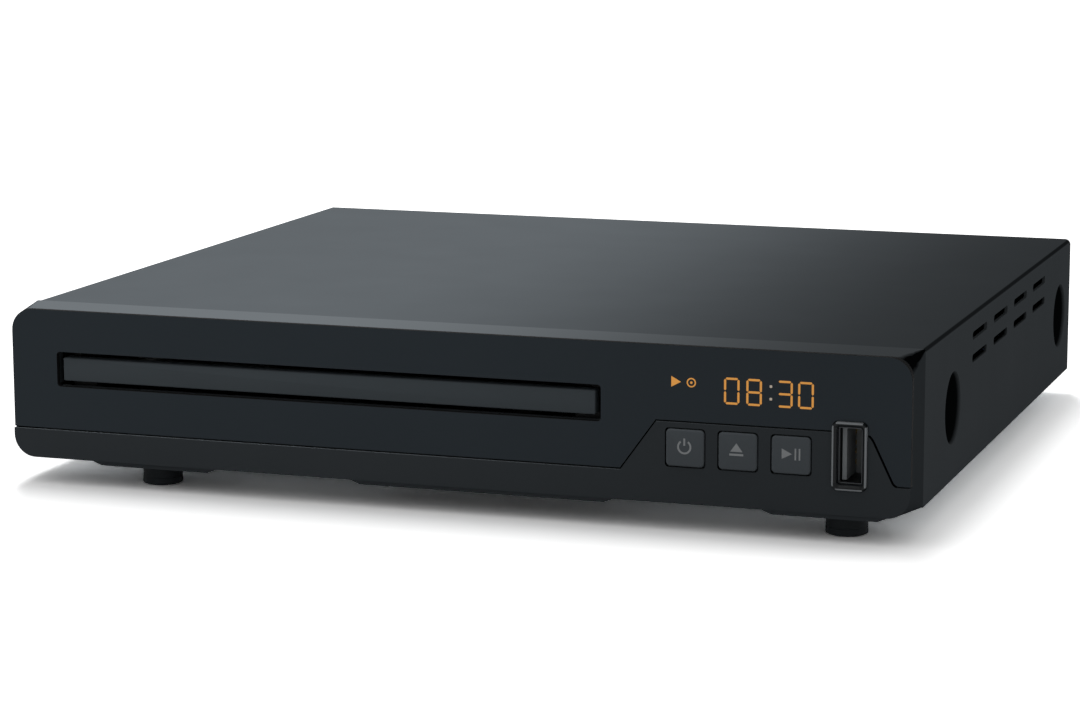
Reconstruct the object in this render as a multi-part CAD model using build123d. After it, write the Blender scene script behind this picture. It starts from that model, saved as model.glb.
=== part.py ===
from build123d import *
from math import cos, pi, radians, sin
import os

# Compact disc player with a loading tray. Millimetres, X to the right, Y into the depth, Z up.
# The origin is on the table, under the centre of the whole player with its rear jacks.

# Case
case_width = 225.0
case_depth = 200.0
case_height = 36.8
foot_height = 6.5
sheet = 0.8
cover_bend = 1.5
cover_lip = 6.5
bezel_depth = 13.5
bezel_wall = 2.0
bezel_front_wall = 1.8
bezel_front_corner = 5.5
bezel_rear_corner = 0.5
bezel_tongue = 5.0
bezel_tongue_wall = 1.5
hook_side_inset = 8.5
hook_slot_gap = 3.05
jack_reach = 8.5

# Clearances
run_gap = 0.3
seat_gap = 0.1
shaft_fit = 0.05

# Front panel and apron: heights from the case's lower edge, insets from its right side
panel_step = 0.4
panel_thickness = 1.5
panel_gap = 0.35
apron_height = 7.1
keys_height = 19.0
apron_break_inset = 68.2
keys_left_inset = 59.6
keys_right_inset = 9.6
apron_right_inset = 3.8
apron_bend_top = 3.0
apron_bend_foot = 2.0

# Swells along the bezel's lower edge, which carry the front feet
swell_drop = 1.0
swell_reach = 18.0
swell_slope = 2.5
swell_left_start = 21.0
swell_left_end = 54.3
swell_middle_start = -23.4
swell_middle_end = 42.6
swell_right_start = 34.7
swell_right_end = 5.1
foot_radius = 4.95
foot_taper = 0.2
foot_pad = 0.5
foot_pad_edge = 0.25
foot_peg_radius = 2.0
foot_left_inset = 34.6
foot_right_inset = 17.2
front_foot_inset = 11.5
rear_foot_inset = 22.0

# Cover openings
slot_length = 17.5
slot_width = 2.0
slot_pitch = 26.0
slot_first = 61.4
slot_columns = 4
slot_rows = (25.5, 31.1)
dimple_radius = 8.75
dimple_floor_radius = 5.8
dimple_depth = 5.0
dimple_height = 17.5
dimple_insets = (31.0, 171.0)

# Tray door and its slot
loader_side_inset = 82.0
door_width = 136.9
door_height = 5.7
door_depth = 3.5
door_setback = 0.9
door_corner = 0.35
door_middle = 22.3
slot_side_gap = 1.5
slot_top_gap = 1.45

# Keys
key_width = 9.1
key_height = 8.7
key_corner = 1.0
key_pitch = 12.5
key_count = 3
key_first_inset = 52.6
key_middle = 13.15
key_proud = 0.3
key_flange = 0.9
key_flange_thick = 1.0
key_travel = 0.6
key_stem_radius = 1.6
key_round = 0.3

# USB socket and its trim
usb_inset = 14.05
usb_middle = 13.75
usb_frame_width = 8.1
usb_frame_height = 15.7
usb_frame_corner = 1.5
usb_frame_proud = 0.7
usb_bevel = 0.6
usb_shell_width = 5.7
usb_shell_height = 13.1
usb_shell_wall = 0.3
usb_shell_length = 14.0
usb_mouth_inset = 1.2
usb_tongue_inset = 1.5
usb_tongue_thick = 1.0
usb_tongue_height = 12.0
usb_tongue_gap = 0.3

# Front boards
board_thick = 1.6
front_board_inset = 12.4
front_board_left_inset = 65.5
front_board_right_inset = 19.0
front_board_arm_inset = 4.5
front_board_arm_height = 10.0
front_board_margin = 3.2
front_boss_inset = 3.0
front_boss_height = 5.0
switch_size = 6.0
switch_height = 3.5
boss_radius = 2.3
display_inset = 39.1
display_middle = 27.0
display_width = 38.0
display_height = 9.6
display_window_margin = 0.5
sensor_inset = 13.5
sensor_radius = 2.6
usb_board_length = 26.0
usb_board_height = 18.0

# Loader, tray and drive
loader_inset = 5.8
loader_length = 160.0
loader_wall = 2.0
loader_side_gap = 1.0
loader_ear_reach = 4.5
loader_ear_front = 22.0
loader_ear_rear = 24.0
loader_floor = 14.5
loader_floor_thick = 2.0
loader_wall_top = 34.0
loader_wall_bottom = 9.4
tray_half = 65.0
tray_length = 154.0
tray_travel = 128.0
tray_top = 31.0
tray_skirt = 1.6
tray_plate_bottom = 28.0
tray_bottom = 25.2
disc_radius = 60.0
disc_margin = 3.2
disc_well = 1.6
small_disc_radius = 40.5
small_disc_well = 0.7
tray_slot_half = 19.0
ledge_width = 4.0
ledge_thick = 2.0
hook_length = 8.0
hook_thick = 1.5

# Gears: module, teeth and thinned teeth for backlash
drive_module = 1.0
drive_pinion_teeth = 14
wheel_module = 0.8
wheel_teeth = 28
pulley_pinion_teeth = 10
tooth_addendum = 0.8
tooth_dedendum = 1.15
tooth_tip_share = 0.12
tooth_root_share = 0.27
mesh_slack = 0.12
rack_offset = 52.0
rack_back = 2.0
rack_overrun = 8.0
gear_inset = 20.5
gear_post_radius = 1.5
drive_hub_radius = 3.4
wheel_thick = 2.6
wheel_bottom = 17.4
pulley_radius = 11.0
pulley_groove = 1.0
pulley_thick = 3.0
motor_pulley_radius = 3.2
motor_distance = 31.0
motor_radius = 10.0
motor_height = 9.8
motor_bottom = 9.0
motor_cup_wall = 1.6
motor_shaft_radius = 1.0
belt_size = 1.2

# Traverse, which carries the spindle and the pickup
traverse_half = 34.0
traverse_front = 23.0
traverse_rear = 81.0
traverse_bottom = 16.5
traverse_thick = 4.0
traverse_rail = 2.5
hinge_distance = 84.0
hinge_pin_radius = 2.0
hinge_pin_length = 4.0
traverse_drop = 3.5
wing_reach = 14.0
rod_offset = 27.0
rod_radius = 1.5
spindle_motor_radius = 12.0
spindle_motor_height = 4.7
spindle_radius = 0.8
turntable_radius = 15.0
turntable_bottom = 25.4
turntable_top = 30.2
hub_radius = 7.3
hub_top = 32.4
cam_pin_radius = 1.5
cam_pin_x = 8.0
cam_travel = 16.0
cam_thick = 3.0
cam_slack = 0.5
cam_half = 38.0
guide_peg_radius = 1.4
guide_peg_x = (-16.0, 34.0)

# Pickup
sled_half = 21.0
sled_front = 9.5
sled_rear = 13.5
sled_bottom = 17.2
sled_top = 24.0
lens_start = 23.0
lens_radius = 2.2
lens_top = 28.9
actuator_half = 9.5
actuator_front = 6.4
actuator_rear = 7.0
actuator_drop = 1.4
actuator_floor = 3.0
actuator_wing_half = 12.5
actuator_wing_thick = 2.0
lens_seat_depth = 3.4
sled_travel = 35.0
sled_wheel_teeth = 18
sled_pinion_teeth = 9
sled_gear_bottom = 21.2
sled_gear_thick = 2.2
sled_rack_offset = 23.3
sled_gear_along = 42.0
sled_pinion_turn = 40.0
sled_rack_overrun = 3.5
sled_motor_radius = 7.5
sled_motor_height = 6.2

# Clamp
bridge_half_depth = 14.0
bridge_bottom = 35.6
bridge_thick = 1.8
clamp_bottom = 33.2
clamp_radius = 14.0
clamp_neck_radius = 10.2
clamp_flange_radius = 12.5
clamp_top = 39.4

# Boards on the pan
standoff_height = 5.0
standoff_radius = 3.0
main_board_gap = 11.5
main_board_inset = 7.2
main_board_length = 128.0
power_board_inset = 7.2
power_board_length = 83.3
power_board_depth = 26.0
board_hole_margin = 4.0
main_hole_inset = 26.0
hdmi_inset = 52.5
hdmi_width = 15.2
hdmi_height = 6.1
hdmi_depth = 11.5
hdmi_wall = 0.5
jack_inset = 24.5
jack_pitch = 14.0
jack_rise = 12.0
jack_low = 5.3
jack_radius = 4.15
jack_bore_radius = 1.7
jack_height = 22.3
jack_depth = 13.0
inlet_inset = 22.5
inlet_width = 22.0
inlet_height = 13.0
inlet_depth = 15.0
inlet_bore_width = 14.6
inlet_bore_height = 9.4
inlet_pin_radius = 1.2
inlet_pin_half = 4.3

# Screws
screw_radius = 1.3
screw_head_radius = 2.8
screw_head_height = 1.6
sheet_screw_length = 5.0

# Vents in the floor
vent_count = 5
vent_first = 10.0
vent_pitch = 8.0
vent_inset = 50.0
vent_length = 34.0
vent_width = 2.5

# Plugs and wires on the boards
plug_inset = 1.5
plug_places = (39.0, 62.0, 88.0)
plug_lengths = (16.0, 12.0, 20.0)
plug_depth = 5.0
plug_height = 6.0
lead_plug_half = 3.6
lead_plug_inset = 7.5
lead_inset = 18.4
wire_radius = 0.7
wire_pitch = 1.6
ribbon_width = 14.0
ribbon_thick = 0.4
ribbon_inset = 20.0
ribbon_lift = 1.2
ribbon_rise = 12.0

# Chips, capacitors and the transformer
decoder_half = 10.0
decoder_thick = 1.6
working_memory_half = 5.0
working_memory_reach = (38.0, 16.0)
working_memory_thick = 1.1
program_memory_reach = (14.0, 19.5)
program_memory_half = 4.0
program_memory_thick = 1.8
driver_half = 5.0
driver_half_depth = 8.0
driver_inset = 22.0
driver_thick = 2.2
chip_inset = 12.0
capacitor_count = 4
capacitor_first = 34.0
capacitor_pitch = 11.0
capacitor_inset = 5.0
capacitor_radius = 3.15
capacitor_height = 9.0
mains_capacitor_inset = 35.5
mains_capacitor_radius = 6.3
mains_capacitor_height = 20.0
output_capacitor_inset = 68.0
output_capacitor_pitch = 9.0
output_capacitor_radius = 4.0
output_capacitor_height = 14.0
output_capacitor_shift = 4.0
transformer_inset = 53.0
core_half = 8.0
core_wall = 2.0
core_lift = 2.0
core_height = 12.0
winding_margin = 1.0
flange_half = 7.5
flange_thick = 1.5
flange_height = 12.0
window_low = 4.5
window_high = 11.5

# Lines worked out from the sizes above
front_y = usb_frame_proud - (case_depth + jack_reach + usb_frame_proud) / 2
joint_y = front_y + bezel_depth
rear_y = front_y + case_depth
base_z = foot_height
roof_z = base_z + case_height
pan_z = base_z + sheet
half_width = case_width / 2
apron_break_x = half_width - apron_break_inset
keys_left_x = half_width - keys_left_inset
keys_right_x = half_width - keys_right_inset
apron_right_x = half_width - apron_right_inset
foot_left_x = -half_width + foot_left_inset
foot_right_x = half_width - foot_right_inset
loader_x = -half_width + loader_side_inset
key_first_x = half_width - key_first_inset
usb_x = half_width - usb_inset
front_board_left = half_width - front_board_left_inset
front_board_right = half_width - front_board_right_inset
front_board_arm = half_width - front_board_arm_inset
display_x = half_width - display_inset
sensor_x = half_width - sensor_inset
loader_half = tray_half + loader_side_gap + loader_wall
main_board_left = loader_x + loader_half + main_board_gap
main_board_right = half_width - main_board_inset
power_board_left = -half_width + power_board_inset
power_board_right = power_board_left + power_board_length
hdmi_x = half_width - hdmi_inset
jack_x = half_width - jack_inset
inlet_x = -half_width + inlet_inset
transformer_x = power_board_left + transformer_inset
cover_inner = half_width - sheet
panel_face_y = front_y + panel_step
panel_back_y = panel_face_y + panel_thickness
bezel_back_y = panel_back_y + bezel_front_wall
tab_x = half_width - dimple_depth - sheet
door_z = base_z + door_middle
key_z = base_z + key_middle
usb_z = base_z + usb_middle
display_z = base_z + display_middle
board_face_y = front_y + front_board_inset
loader_y = front_y + loader_inset
loader_end_y = loader_y + loader_length
tray_y = front_y + door_setback + door_depth
spindle_y = tray_y + disc_margin + disc_radius
floor_top = loader_floor + loader_floor_thick
gear_y = front_y + gear_inset
pinion_pitch = drive_module * drive_pinion_teeth / 2
wheel_pitch = wheel_module * wheel_teeth / 2
pulley_pinion_pitch = wheel_module * pulley_pinion_teeth / 2
gear_x = loader_x + rack_offset - pinion_pitch - mesh_slack
pulley_x = gear_x - wheel_pitch - pulley_pinion_pitch - mesh_slack
motor_x = pulley_x - motor_distance
pulley_bottom = wheel_bottom + wheel_thick + run_gap
rail_z = tray_bottom - run_gap
hinge_y = spindle_y + hinge_distance
hinge_z = traverse_bottom + traverse_thick / 2
traverse_top = traverse_bottom + traverse_thick
traverse_front_y = spindle_y - traverse_front
traverse_rear_y = spindle_y + traverse_rear
cam_rear_y = traverse_front_y - 1.5
cam_front_y = cam_rear_y - cam_thick
guide_wall_y = cam_front_y - run_gap
cam_drop = (hinge_y - cam_rear_y) * sin(radians(traverse_drop))
frame_open_left = loader_x - traverse_half - 3.0
frame_open_right = loader_x + traverse_half + wing_reach + 3.0
sled_pitch = wheel_module * sled_wheel_teeth / 2
sled_pinion_pitch = wheel_module * sled_pinion_teeth / 2
sled_gear_x = loader_x + sled_rack_offset + sled_pitch + mesh_slack
sled_gear_y = spindle_y + sled_gear_along
sled_reach = sled_pitch + sled_pinion_pitch + mesh_slack
sled_motor_x = sled_gear_x + sled_reach * cos(radians(sled_pinion_turn))
sled_motor_y = sled_gear_y + sled_reach * sin(radians(sled_pinion_turn))
lens_y = spindle_y + lens_start
board_z = pan_z + standoff_height
board_top = board_z + board_thick
panel_inner_y = rear_y - 2 * sheet


def block(x0, x1, y0, y1, z0, z1):
    """A straight-sided block between two corners."""
    return Pos((x0 + x1) / 2, (y0 + y1) / 2, (z0 + z1) / 2) * Box(x1 - x0, y1 - y0, z1 - z0)


def post(x, y, z0, z1, radius):
    """An upright round bar."""
    return Pos(x, y, (z0 + z1) / 2) * Cylinder(radius, z1 - z0)


def bar_y(x, z, y0, y1, radius):
    """A round bar along the depth."""
    return Pos(x, (y0 + y1) / 2, z) * Rot(90, 0, 0) * Cylinder(radius, y1 - y0)


def bar_x(y, z, x0, x1, radius):
    """A round bar across the width."""
    return Pos((x0 + x1) / 2, y, z) * Rot(0, 90, 0) * Cylinder(radius, x1 - x0)


def upright(y):
    """The plane at a depth on which outlines are drawn with X across and Z up."""
    return Plane((0, y, 0), x_dir=(1, 0, 0), z_dir=(0, -1, 0))


def slab_y(outline, y0, y1):
    """An outline drawn with X across and Z up, thickened from y0 to y1."""
    return extrude(upright(y1) * outline, amount=y1 - y0)


def slab_x(outline, x0, x1):
    """An outline drawn with Y across and Z up, thickened from x0 to x1."""
    return extrude(Plane((x0, 0, 0), x_dir=(0, 1, 0), z_dir=(1, 0, 0)) * outline, amount=x1 - x0)


def slab_z(outline, z0, z1):
    """An outline drawn from above, thickened from z0 to z1."""
    return Pos(0, 0, z0) * extrude(outline, amount=z1 - z0)


def mirrored(shape):
    """The shape and its twin on the other side of the middle plane."""
    return [shape, mirror(shape, Plane.YZ)]


def front_rectangle(width, height, corner, x, z):
    """A round-cornered rectangle drawn with X across and Z up."""
    return Pos(x, z) * RectangleRounded(width, height, corner)


def gear(teeth, module, thick, turn=0.0):
    """A spur gear about the Z axis, with straight flanks thinned for backlash."""
    pitch_radius = teeth * module / 2
    step = 360 / teeth
    points = []
    for tooth in range(teeth):
        middle = turn + tooth * step
        for reach, share in (
            (-tooth_dedendum, -tooth_root_share),
            (tooth_addendum, -tooth_tip_share),
            (tooth_addendum, tooth_tip_share),
            (-tooth_dedendum, tooth_root_share),
        ):
            radius = pitch_radius + reach * module
            angle = radians(middle + share * step)
            points.append((radius * cos(angle), radius * sin(angle)))
    return extrude(make_face(Polyline(*points, close=True)), amount=thick)


def rack_bar(module, mesh_y, y0, y1, pitch_x, back_x, z0, z1):
    """A rack along Y: a space lies at mesh_y, teeth point from back_x past the pitch line."""
    pitch = pi * module
    side = 1 if back_x < pitch_x else -1
    tip_x = pitch_x + side * tooth_addendum * module
    root_x = pitch_x - side * tooth_dedendum * module
    first = -int((mesh_y - y0 - pitch) / pitch)
    count = int((y1 - y0) / pitch) - 1
    points = [(back_x, y0), (root_x, y0)]
    for tooth in range(first, first + count):
        middle = mesh_y + (tooth + 0.5) * pitch
        points.append((root_x, middle - tooth_root_share * pitch))
        points.append((tip_x, middle - tooth_tip_share * pitch))
        points.append((tip_x, middle + tooth_tip_share * pitch))
        points.append((root_x, middle + tooth_root_share * pitch))
    points += [(root_x, y1), (back_x, y1)]
    return slab_z(make_face(Polyline(*points, close=True)), z0, z1)


def screw_down(x, y, top, length):
    """A pan-head screw driven downwards, with its head resting on top."""
    head = post(x, y, top, top + screw_head_height, screw_head_radius)
    return head + post(x, y, top - length, top, screw_radius)


def pilot_down(x, y, top, length):
    """The hole for a screw driven downwards."""
    return post(x, y, top - length, top, screw_radius + seat_gap)


# Case outlines


def case_outline(inset, corner, height=case_height):
    """The bezel's outline, inset all round."""
    return front_rectangle(case_width - 2 * inset, height - 2 * inset, corner, 0, base_z + height / 2)


def bezel_body(inset, y0, y1):
    """The bezel's tapering form: round corners in front, sharp ones where it meets the cover."""
    front = upright(y0) * case_outline(inset, max(bezel_front_corner - inset, bezel_rear_corner))
    rear = upright(y1) * case_outline(inset, bezel_rear_corner)
    return loft([front.face(), rear.face()])


def panel_zone():
    """The part of the front that the smoked panel covers, above the stepped apron."""
    apron_z = base_z + apron_height
    keys_z = base_z + keys_height
    outer = half_width + 1
    top = roof_z + 1
    zone = Polygon(
        (-outer, apron_z),
        (apron_break_x, apron_z),
        (keys_left_x, keys_z),
        (keys_right_x, keys_z),
        (apron_right_x, apron_z),
        (outer, apron_z),
        (outer, top),
        (-outer, top),
        align=None,
    )
    bend = [v for v in zone.vertices() if abs(v.X - keys_right_x) < 0.01]
    zone = fillet(bend, apron_bend_top)
    bend = [v for v in zone.vertices() if abs(v.X - apron_right_x) < 0.01]
    return fillet(bend, apron_bend_foot)


def tray_slot(extra=0.0):
    """The slot that the tray comes out of."""
    width = door_width + 2 * (slot_side_gap + extra)
    height = door_height + 2 * (slot_top_gap + extra)
    return front_rectangle(width, height, door_corner + 0.5, loader_x, door_z)


def usb_pocket(extra=0.0):
    """The outline of the USB socket's trim."""
    width = usb_frame_width + 2 * extra
    height = usb_frame_height + 2 * extra
    return front_rectangle(width, height, usb_frame_corner, usb_x, usb_z)


def key_places():
    """The middle of each key, across the front."""
    return [key_first_x + number * key_pitch for number in range(key_count)]


def swell_spans():
    """The left and right end of each swell."""
    return (
        (-half_width + swell_left_start, -half_width + swell_left_end),
        (swell_middle_start, swell_middle_end),
        (half_width - swell_right_start, half_width - swell_right_end),
    )


def hook_places():
    """The middle of each hook that reaches over the pan: one beside the tray's slot."""
    slot_end = loader_x + door_width / 2 + slot_side_gap
    return (-half_width + hook_side_inset, 0.0, slot_end + hook_slot_gap)


def front_boss_places():
    """Where the front board is screwed to the bezel."""
    low = base_z + front_boss_height
    high = roof_z - front_boss_height - bezel_wall / 2
    left = front_board_left + front_boss_inset
    right = front_board_right - front_boss_inset
    return ((left, high), (front_board_arm - front_boss_inset, high), (left, low), (right, low))


def front_bezel():
    """The moulded front with its apron, slot, window, key holes, swells and rear tongue."""
    body = bezel_body(0, front_y, joint_y)
    body -= bezel_body(bezel_wall, bezel_back_y, joint_y + 0.01)
    body -= slab_y(panel_zone(), front_y - 1, panel_back_y)
    body += bezel_tongue_ring()
    for left, right in swell_spans():
        swell = Polygon(
            (left, base_z),
            (left + swell_slope, base_z - swell_drop),
            (right - swell_slope, base_z - swell_drop),
            (right, base_z),
            align=None,
        )
        body += slab_y(swell, front_y + run_gap, joint_y)
        shelf = block(left + swell_slope, right - swell_slope, joint_y - 1, front_y + swell_reach,
                      base_z - swell_drop, base_z)
        body += shelf
    body += bezel_bosses()
    cuts = [slab_y(tray_slot(), front_y - 1, bezel_back_y + 1)]
    cuts.append(slab_y(usb_pocket(seat_gap), front_y - 1, bezel_back_y + 1))
    window = Pos(display_x, display_z) * Rectangle(
        display_width + 2 * display_window_margin, display_height + 2 * display_window_margin)
    cuts.append(slab_y(window, front_y - 1, bezel_back_y + 1))
    cuts.append(bar_y(sensor_x, display_z, front_y - 1, bezel_back_y + 1, sensor_radius + run_gap))
    for x in key_places():
        hole = front_rectangle(key_width + 2 * run_gap, key_height + 2 * run_gap, key_corner, x, key_z)
        cuts.append(slab_y(hole, front_y - 1, bezel_back_y + 1))
    for x, z in front_boss_places():
        cuts.append(bar_y(x, z, board_face_y - 5, board_face_y + 1, screw_radius + seat_gap))
    for x in (foot_left_x, foot_right_x):
        y = front_y + front_foot_inset
        cuts.append(post(x, y, base_z - swell_drop - 1, base_z + bezel_wall + 1, foot_peg_radius + seat_gap))
    return body - cuts


def bezel_tongue_ring():
    """The thin rim behind the bezel that slides in under the cover's top and sides."""
    outer = sheet + seat_gap
    inner = outer + bezel_tongue_wall
    rim = slab_y(case_outline(outer, cover_bend), joint_y - 3, joint_y + bezel_tongue)
    rim -= slab_y(case_outline(inner, bezel_rear_corner), joint_y - 4, joint_y + bezel_tongue + 1)
    floor_cut = block(-half_width, half_width, joint_y - 4, joint_y + bezel_tongue + 1,
                      base_z - 1, pan_z + 2.5)
    return rim - floor_cut


def bezel_bosses():
    """Screw bosses for the front board, the rib that holds the USB board, and hooks over the pan."""
    pieces = []
    for x, z in front_boss_places():
        pieces.append(bar_y(x, z, bezel_back_y - 0.5, board_face_y, boss_radius))
    rib_x = usb_x + usb_shell_width / 2 + board_thick
    pieces.append(block(rib_x, rib_x + bezel_wall, bezel_back_y - 0.5, joint_y - 1,
                        usb_z - 4, usb_z + usb_board_height / 2))
    for x in hook_places():
        pieces.append(block(x - 5, x + 5, joint_y - 5, joint_y + 6, pan_z, pan_z + bezel_wall))
    return pieces


def display_panel():
    """The smoked panel: the bezel's outline above the apron and its groove, with the tray slot."""
    zone = offset(panel_zone(), -panel_gap, kind=Kind.INTERSECTION)
    slice_body = bezel_body(0, front_y, joint_y) & slab_y(zone, panel_face_y, panel_back_y)
    slice_body -= slab_y(tray_slot(), front_y - 1, bezel_back_y)
    return slice_body - slab_y(usb_pocket(seat_gap), front_y - 1, bezel_back_y)


def top_cover():
    """The sheet steel cover: one top and two sides, bent, with a lip behind, dimples and slots."""
    height = case_height + cover_bend
    middle = base_z + (case_height - cover_bend) / 2
    outer = front_rectangle(case_width, height, cover_bend, 0, middle)
    inner = front_rectangle(2 * cover_inner, height - 2 * sheet, cover_bend - sheet, 0, middle)
    body = slab_y(outer - inner, joint_y, rear_y)
    body += slab_y(inner, rear_y - sheet, rear_y) & block(
        -half_width, half_width, joint_y, rear_y, roof_z - cover_lip, roof_z)
    body -= block(-half_width - 1, half_width + 1, joint_y - 1, rear_y + 1, base_z - 9, base_z)
    for inset in dimple_insets:
        y = joint_y + inset
        z = base_z + dimple_height
        frustum = Rot(0, -90, 0) * Cone(
            dimple_radius, dimple_floor_radius, dimple_depth, align=(Align.CENTER, Align.CENTER, Align.MIN))
        skin = Rot(0, -90, 0) * Cone(
            dimple_radius + sheet, dimple_floor_radius + sheet, dimple_depth + sheet,
            align=(Align.CENTER, Align.CENTER, Align.MIN))
        body += mirrored(Pos(half_width, y, z) * skin)
        body -= mirrored(Pos(half_width, y, z) * frustum)
        body -= mirrored(bar_x(y, z, tab_x - 1, half_width, screw_radius + seat_gap))
    for row in slot_rows:
        for column in range(slot_columns):
            y = joint_y + slot_first + column * slot_pitch
            opening = Pos(y, base_z + row) * SlotOverall(slot_length, slot_width)
            body -= slab_x(opening, -half_width - 1, half_width + 1)
    for x in rear_screw_places():
        body -= bar_y(x, roof_z - cover_lip / 2, rear_y - 2, rear_y + 1, screw_radius + seat_gap)
    return body


def rear_screw_places():
    """The cover's rear screws, across the back."""
    return (-half_width * 0.85, 0.0, half_width * 0.85)


def flange_screw_places():
    """The screws that hold the rear panel to the pan."""
    return (-half_width * 0.5, half_width * 0.2)


def loader_ears():
    """The middle of each ear that screws the loader to the pan."""
    reach = loader_half + loader_ear_reach
    rows = (loader_y + loader_ear_front, loader_end_y - loader_ear_rear)
    return [(loader_x + side * reach, y) for side in (-1, 1) for y in rows]


def main_board_holes():
    """The main board's screws."""
    rear = panel_inner_y - main_hole_inset
    front = panel_inner_y - main_board_length + board_hole_margin
    left = main_board_left + board_hole_margin
    right = main_board_right - board_hole_margin
    return [(x, y) for x in (left, right) for y in (front, rear)]


def power_board_holes():
    """The power board's screws."""
    y = panel_inner_y - power_board_depth + board_hole_margin
    return [(power_board_left + board_hole_margin, y), (power_board_right - board_hole_margin, y)]


def vent_places():
    """Floor vents, under the boards."""
    return [main_board_left + vent_first + number * vent_pitch for number in range(vent_count)]


def chassis_pan():
    """The sheet steel floor: edge lips, tabs behind the dimples, standoffs, vents and rear flange."""
    edge = cover_inner - seat_gap
    body = block(-edge, edge, joint_y, rear_y - sheet, base_z, pan_z)
    body += block(-edge + 6, edge - 6, panel_inner_y - sheet, panel_inner_y, pan_z, pan_z + 5.5)
    for inset in dimple_insets:
        y = joint_y + inset
        top = base_z + dimple_height + 6.5
        tab = block(tab_x - sheet, tab_x, y - 9, y + 9, pan_z, top)
        body += mirrored(tab)
        body -= mirrored(bar_x(y, base_z + dimple_height, tab_x - 2, tab_x + 1, screw_radius + seat_gap))
    for x, y in loader_ears():
        body += post(x, y, pan_z, pan_z + standoff_height, standoff_radius + 0.5)
        body -= pilot_down(x, y, pan_z + standoff_height + 1, 6)
    for x, y in main_board_holes() + power_board_holes():
        body += post(x, y, pan_z, board_z, standoff_radius)
        body -= pilot_down(x, y, board_z + 1, 6)
    for x in vent_places():
        vent = Pos(x, panel_inner_y - vent_inset) * Rot(0, 0, 90) * SlotOverall(vent_length, vent_width)
        body -= slab_z(vent, base_z - 1, pan_z + 1)
    for x in (foot_left_x, foot_right_x):
        y = rear_y - rear_foot_inset
        body -= post(x, y, base_z - 1, pan_z + 1, foot_peg_radius + seat_gap)
        y = front_y + front_foot_inset
        body -= post(x, y, base_z - 1, pan_z + 1, foot_peg_radius + 1.5)
    for x in flange_screw_places():
        body -= bar_y(x, pan_z + 3, panel_inner_y - 2, panel_inner_y + 1, screw_radius + seat_gap)
    return body


def foot(x, y, top, peg_top):
    """A round foot with a softly edged pad and a peg that snaps into the case."""
    cup = Pos(x, y, foot_pad) * Cone(foot_radius, foot_radius - foot_taper, top - foot_pad,
                                     align=(Align.CENTER, Align.CENTER, Align.MIN))
    pad = Pos(x, y, 0) * Cone(foot_radius - foot_pad_edge, foot_radius, foot_pad,
                              align=(Align.CENTER, Align.CENTER, Align.MIN))
    return cup + pad + post(x, y, top, peg_top, foot_peg_radius)


def rear_panel():
    """The flat rear plate with cut-outs for the sockets and its screw holes."""
    edge = cover_inner - seat_gap
    height = roof_z - sheet - seat_gap - pan_z
    outline = Pos(0, pan_z + height / 2) * Rectangle(2 * edge, height)
    outline = fillet(outline.vertices().group_by(Axis.Y)[-1], cover_bend)
    body = slab_y(outline, panel_inner_y, rear_y - sheet)
    cuts = [slab_y(Pos(inlet_x, inlet_z()) * Rectangle(inlet_width + 0.4, inlet_height + 0.4),
                   panel_inner_y - 1, rear_y)]
    cuts.append(slab_y(Pos(hdmi_x, board_top + hdmi_height / 2) * Rectangle(hdmi_width + 1, hdmi_height + 0.8),
                       panel_inner_y - 1, rear_y))
    for x, z in jack_places():
        cuts.append(bar_y(x, z, panel_inner_y - 1, rear_y, jack_radius + 0.6))
    for x in rear_screw_places():
        cuts.append(bar_y(x, roof_z - cover_lip / 2, panel_inner_y - 1, rear_y, screw_radius + seat_gap))
    for x in flange_screw_places():
        cuts.append(bar_y(x, pan_z + 3, panel_inner_y - 1, rear_y, screw_radius + seat_gap))
    return body - cuts


def inlet_z():
    """The height of the mains inlet's middle."""
    return board_top + inlet_height / 2 + 1.5


def jack_places():
    """The middle of each of the four jacks, two across and two up."""
    low = board_top + jack_low
    return [(jack_x + side * jack_pitch / 2, z) for side in (-1, 1) for z in (low, low + jack_rise)]


def screw_y(x, z, face, length, sign):
    """A screw along the depth: its head is on the face's sign side."""
    head = bar_y(x, z, min(face, face + sign * screw_head_height), max(face, face + sign * screw_head_height),
                 screw_head_radius)
    return head + bar_y(x, z, min(face, face - sign * length), max(face, face - sign * length), screw_radius)


def cover_side_screws():
    """Four screws at the bottom of the dimples."""
    solids = []
    for inset in dimple_insets:
        y = joint_y + inset
        z = base_z + dimple_height
        face = half_width - dimple_depth
        head = bar_x(y, z, face, face + screw_head_height, screw_head_radius)
        solids += mirrored(head + bar_x(y, z, face - 5, face, screw_radius))
    return solids


def rear_screws():
    """Screws of the cover's rear lip and of the rear panel."""
    solids = [screw_y(x, roof_z - cover_lip / 2, rear_y, sheet_screw_length, 1) for x in rear_screw_places()]
    panel_face = rear_y - sheet
    return solids + [screw_y(x, pan_z + 3, panel_face, sheet_screw_length, 1) for x in flange_screw_places()]


def key(x):
    """A key cap with a flange that keeps it in its hole and a stem towards its switch."""
    face = front_y - key_proud
    cap = slab_y(front_rectangle(key_width, key_height, key_corner, x, key_z), face, bezel_back_y + run_gap)
    front_edges = cap.faces().sort_by(Axis.Y)[0].edges()
    cap = fillet(front_edges, key_round)
    flange_y = bezel_back_y + run_gap
    flange = block(x - key_width / 2 - key_flange, x + key_width / 2 + key_flange,
                   flange_y, flange_y + key_flange_thick,
                   key_z - key_height / 2 - key_flange, key_z + key_height / 2 + key_flange)
    stem_end = board_face_y - switch_height - key_travel - run_gap
    return cap + flange + bar_y(x, key_z, flange_y, stem_end, key_stem_radius)


def key_switches():
    """The three switches behind the keys."""
    solids = []
    for x in key_places():
        half = switch_size / 2
        can = block(x - half, x + half, board_face_y - switch_height + 0.8, board_face_y,
                    key_z - half, key_z + half)
        solids.append(can + bar_y(x, key_z, board_face_y - switch_height, board_face_y - 1, 1.7))
    return solids


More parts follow.
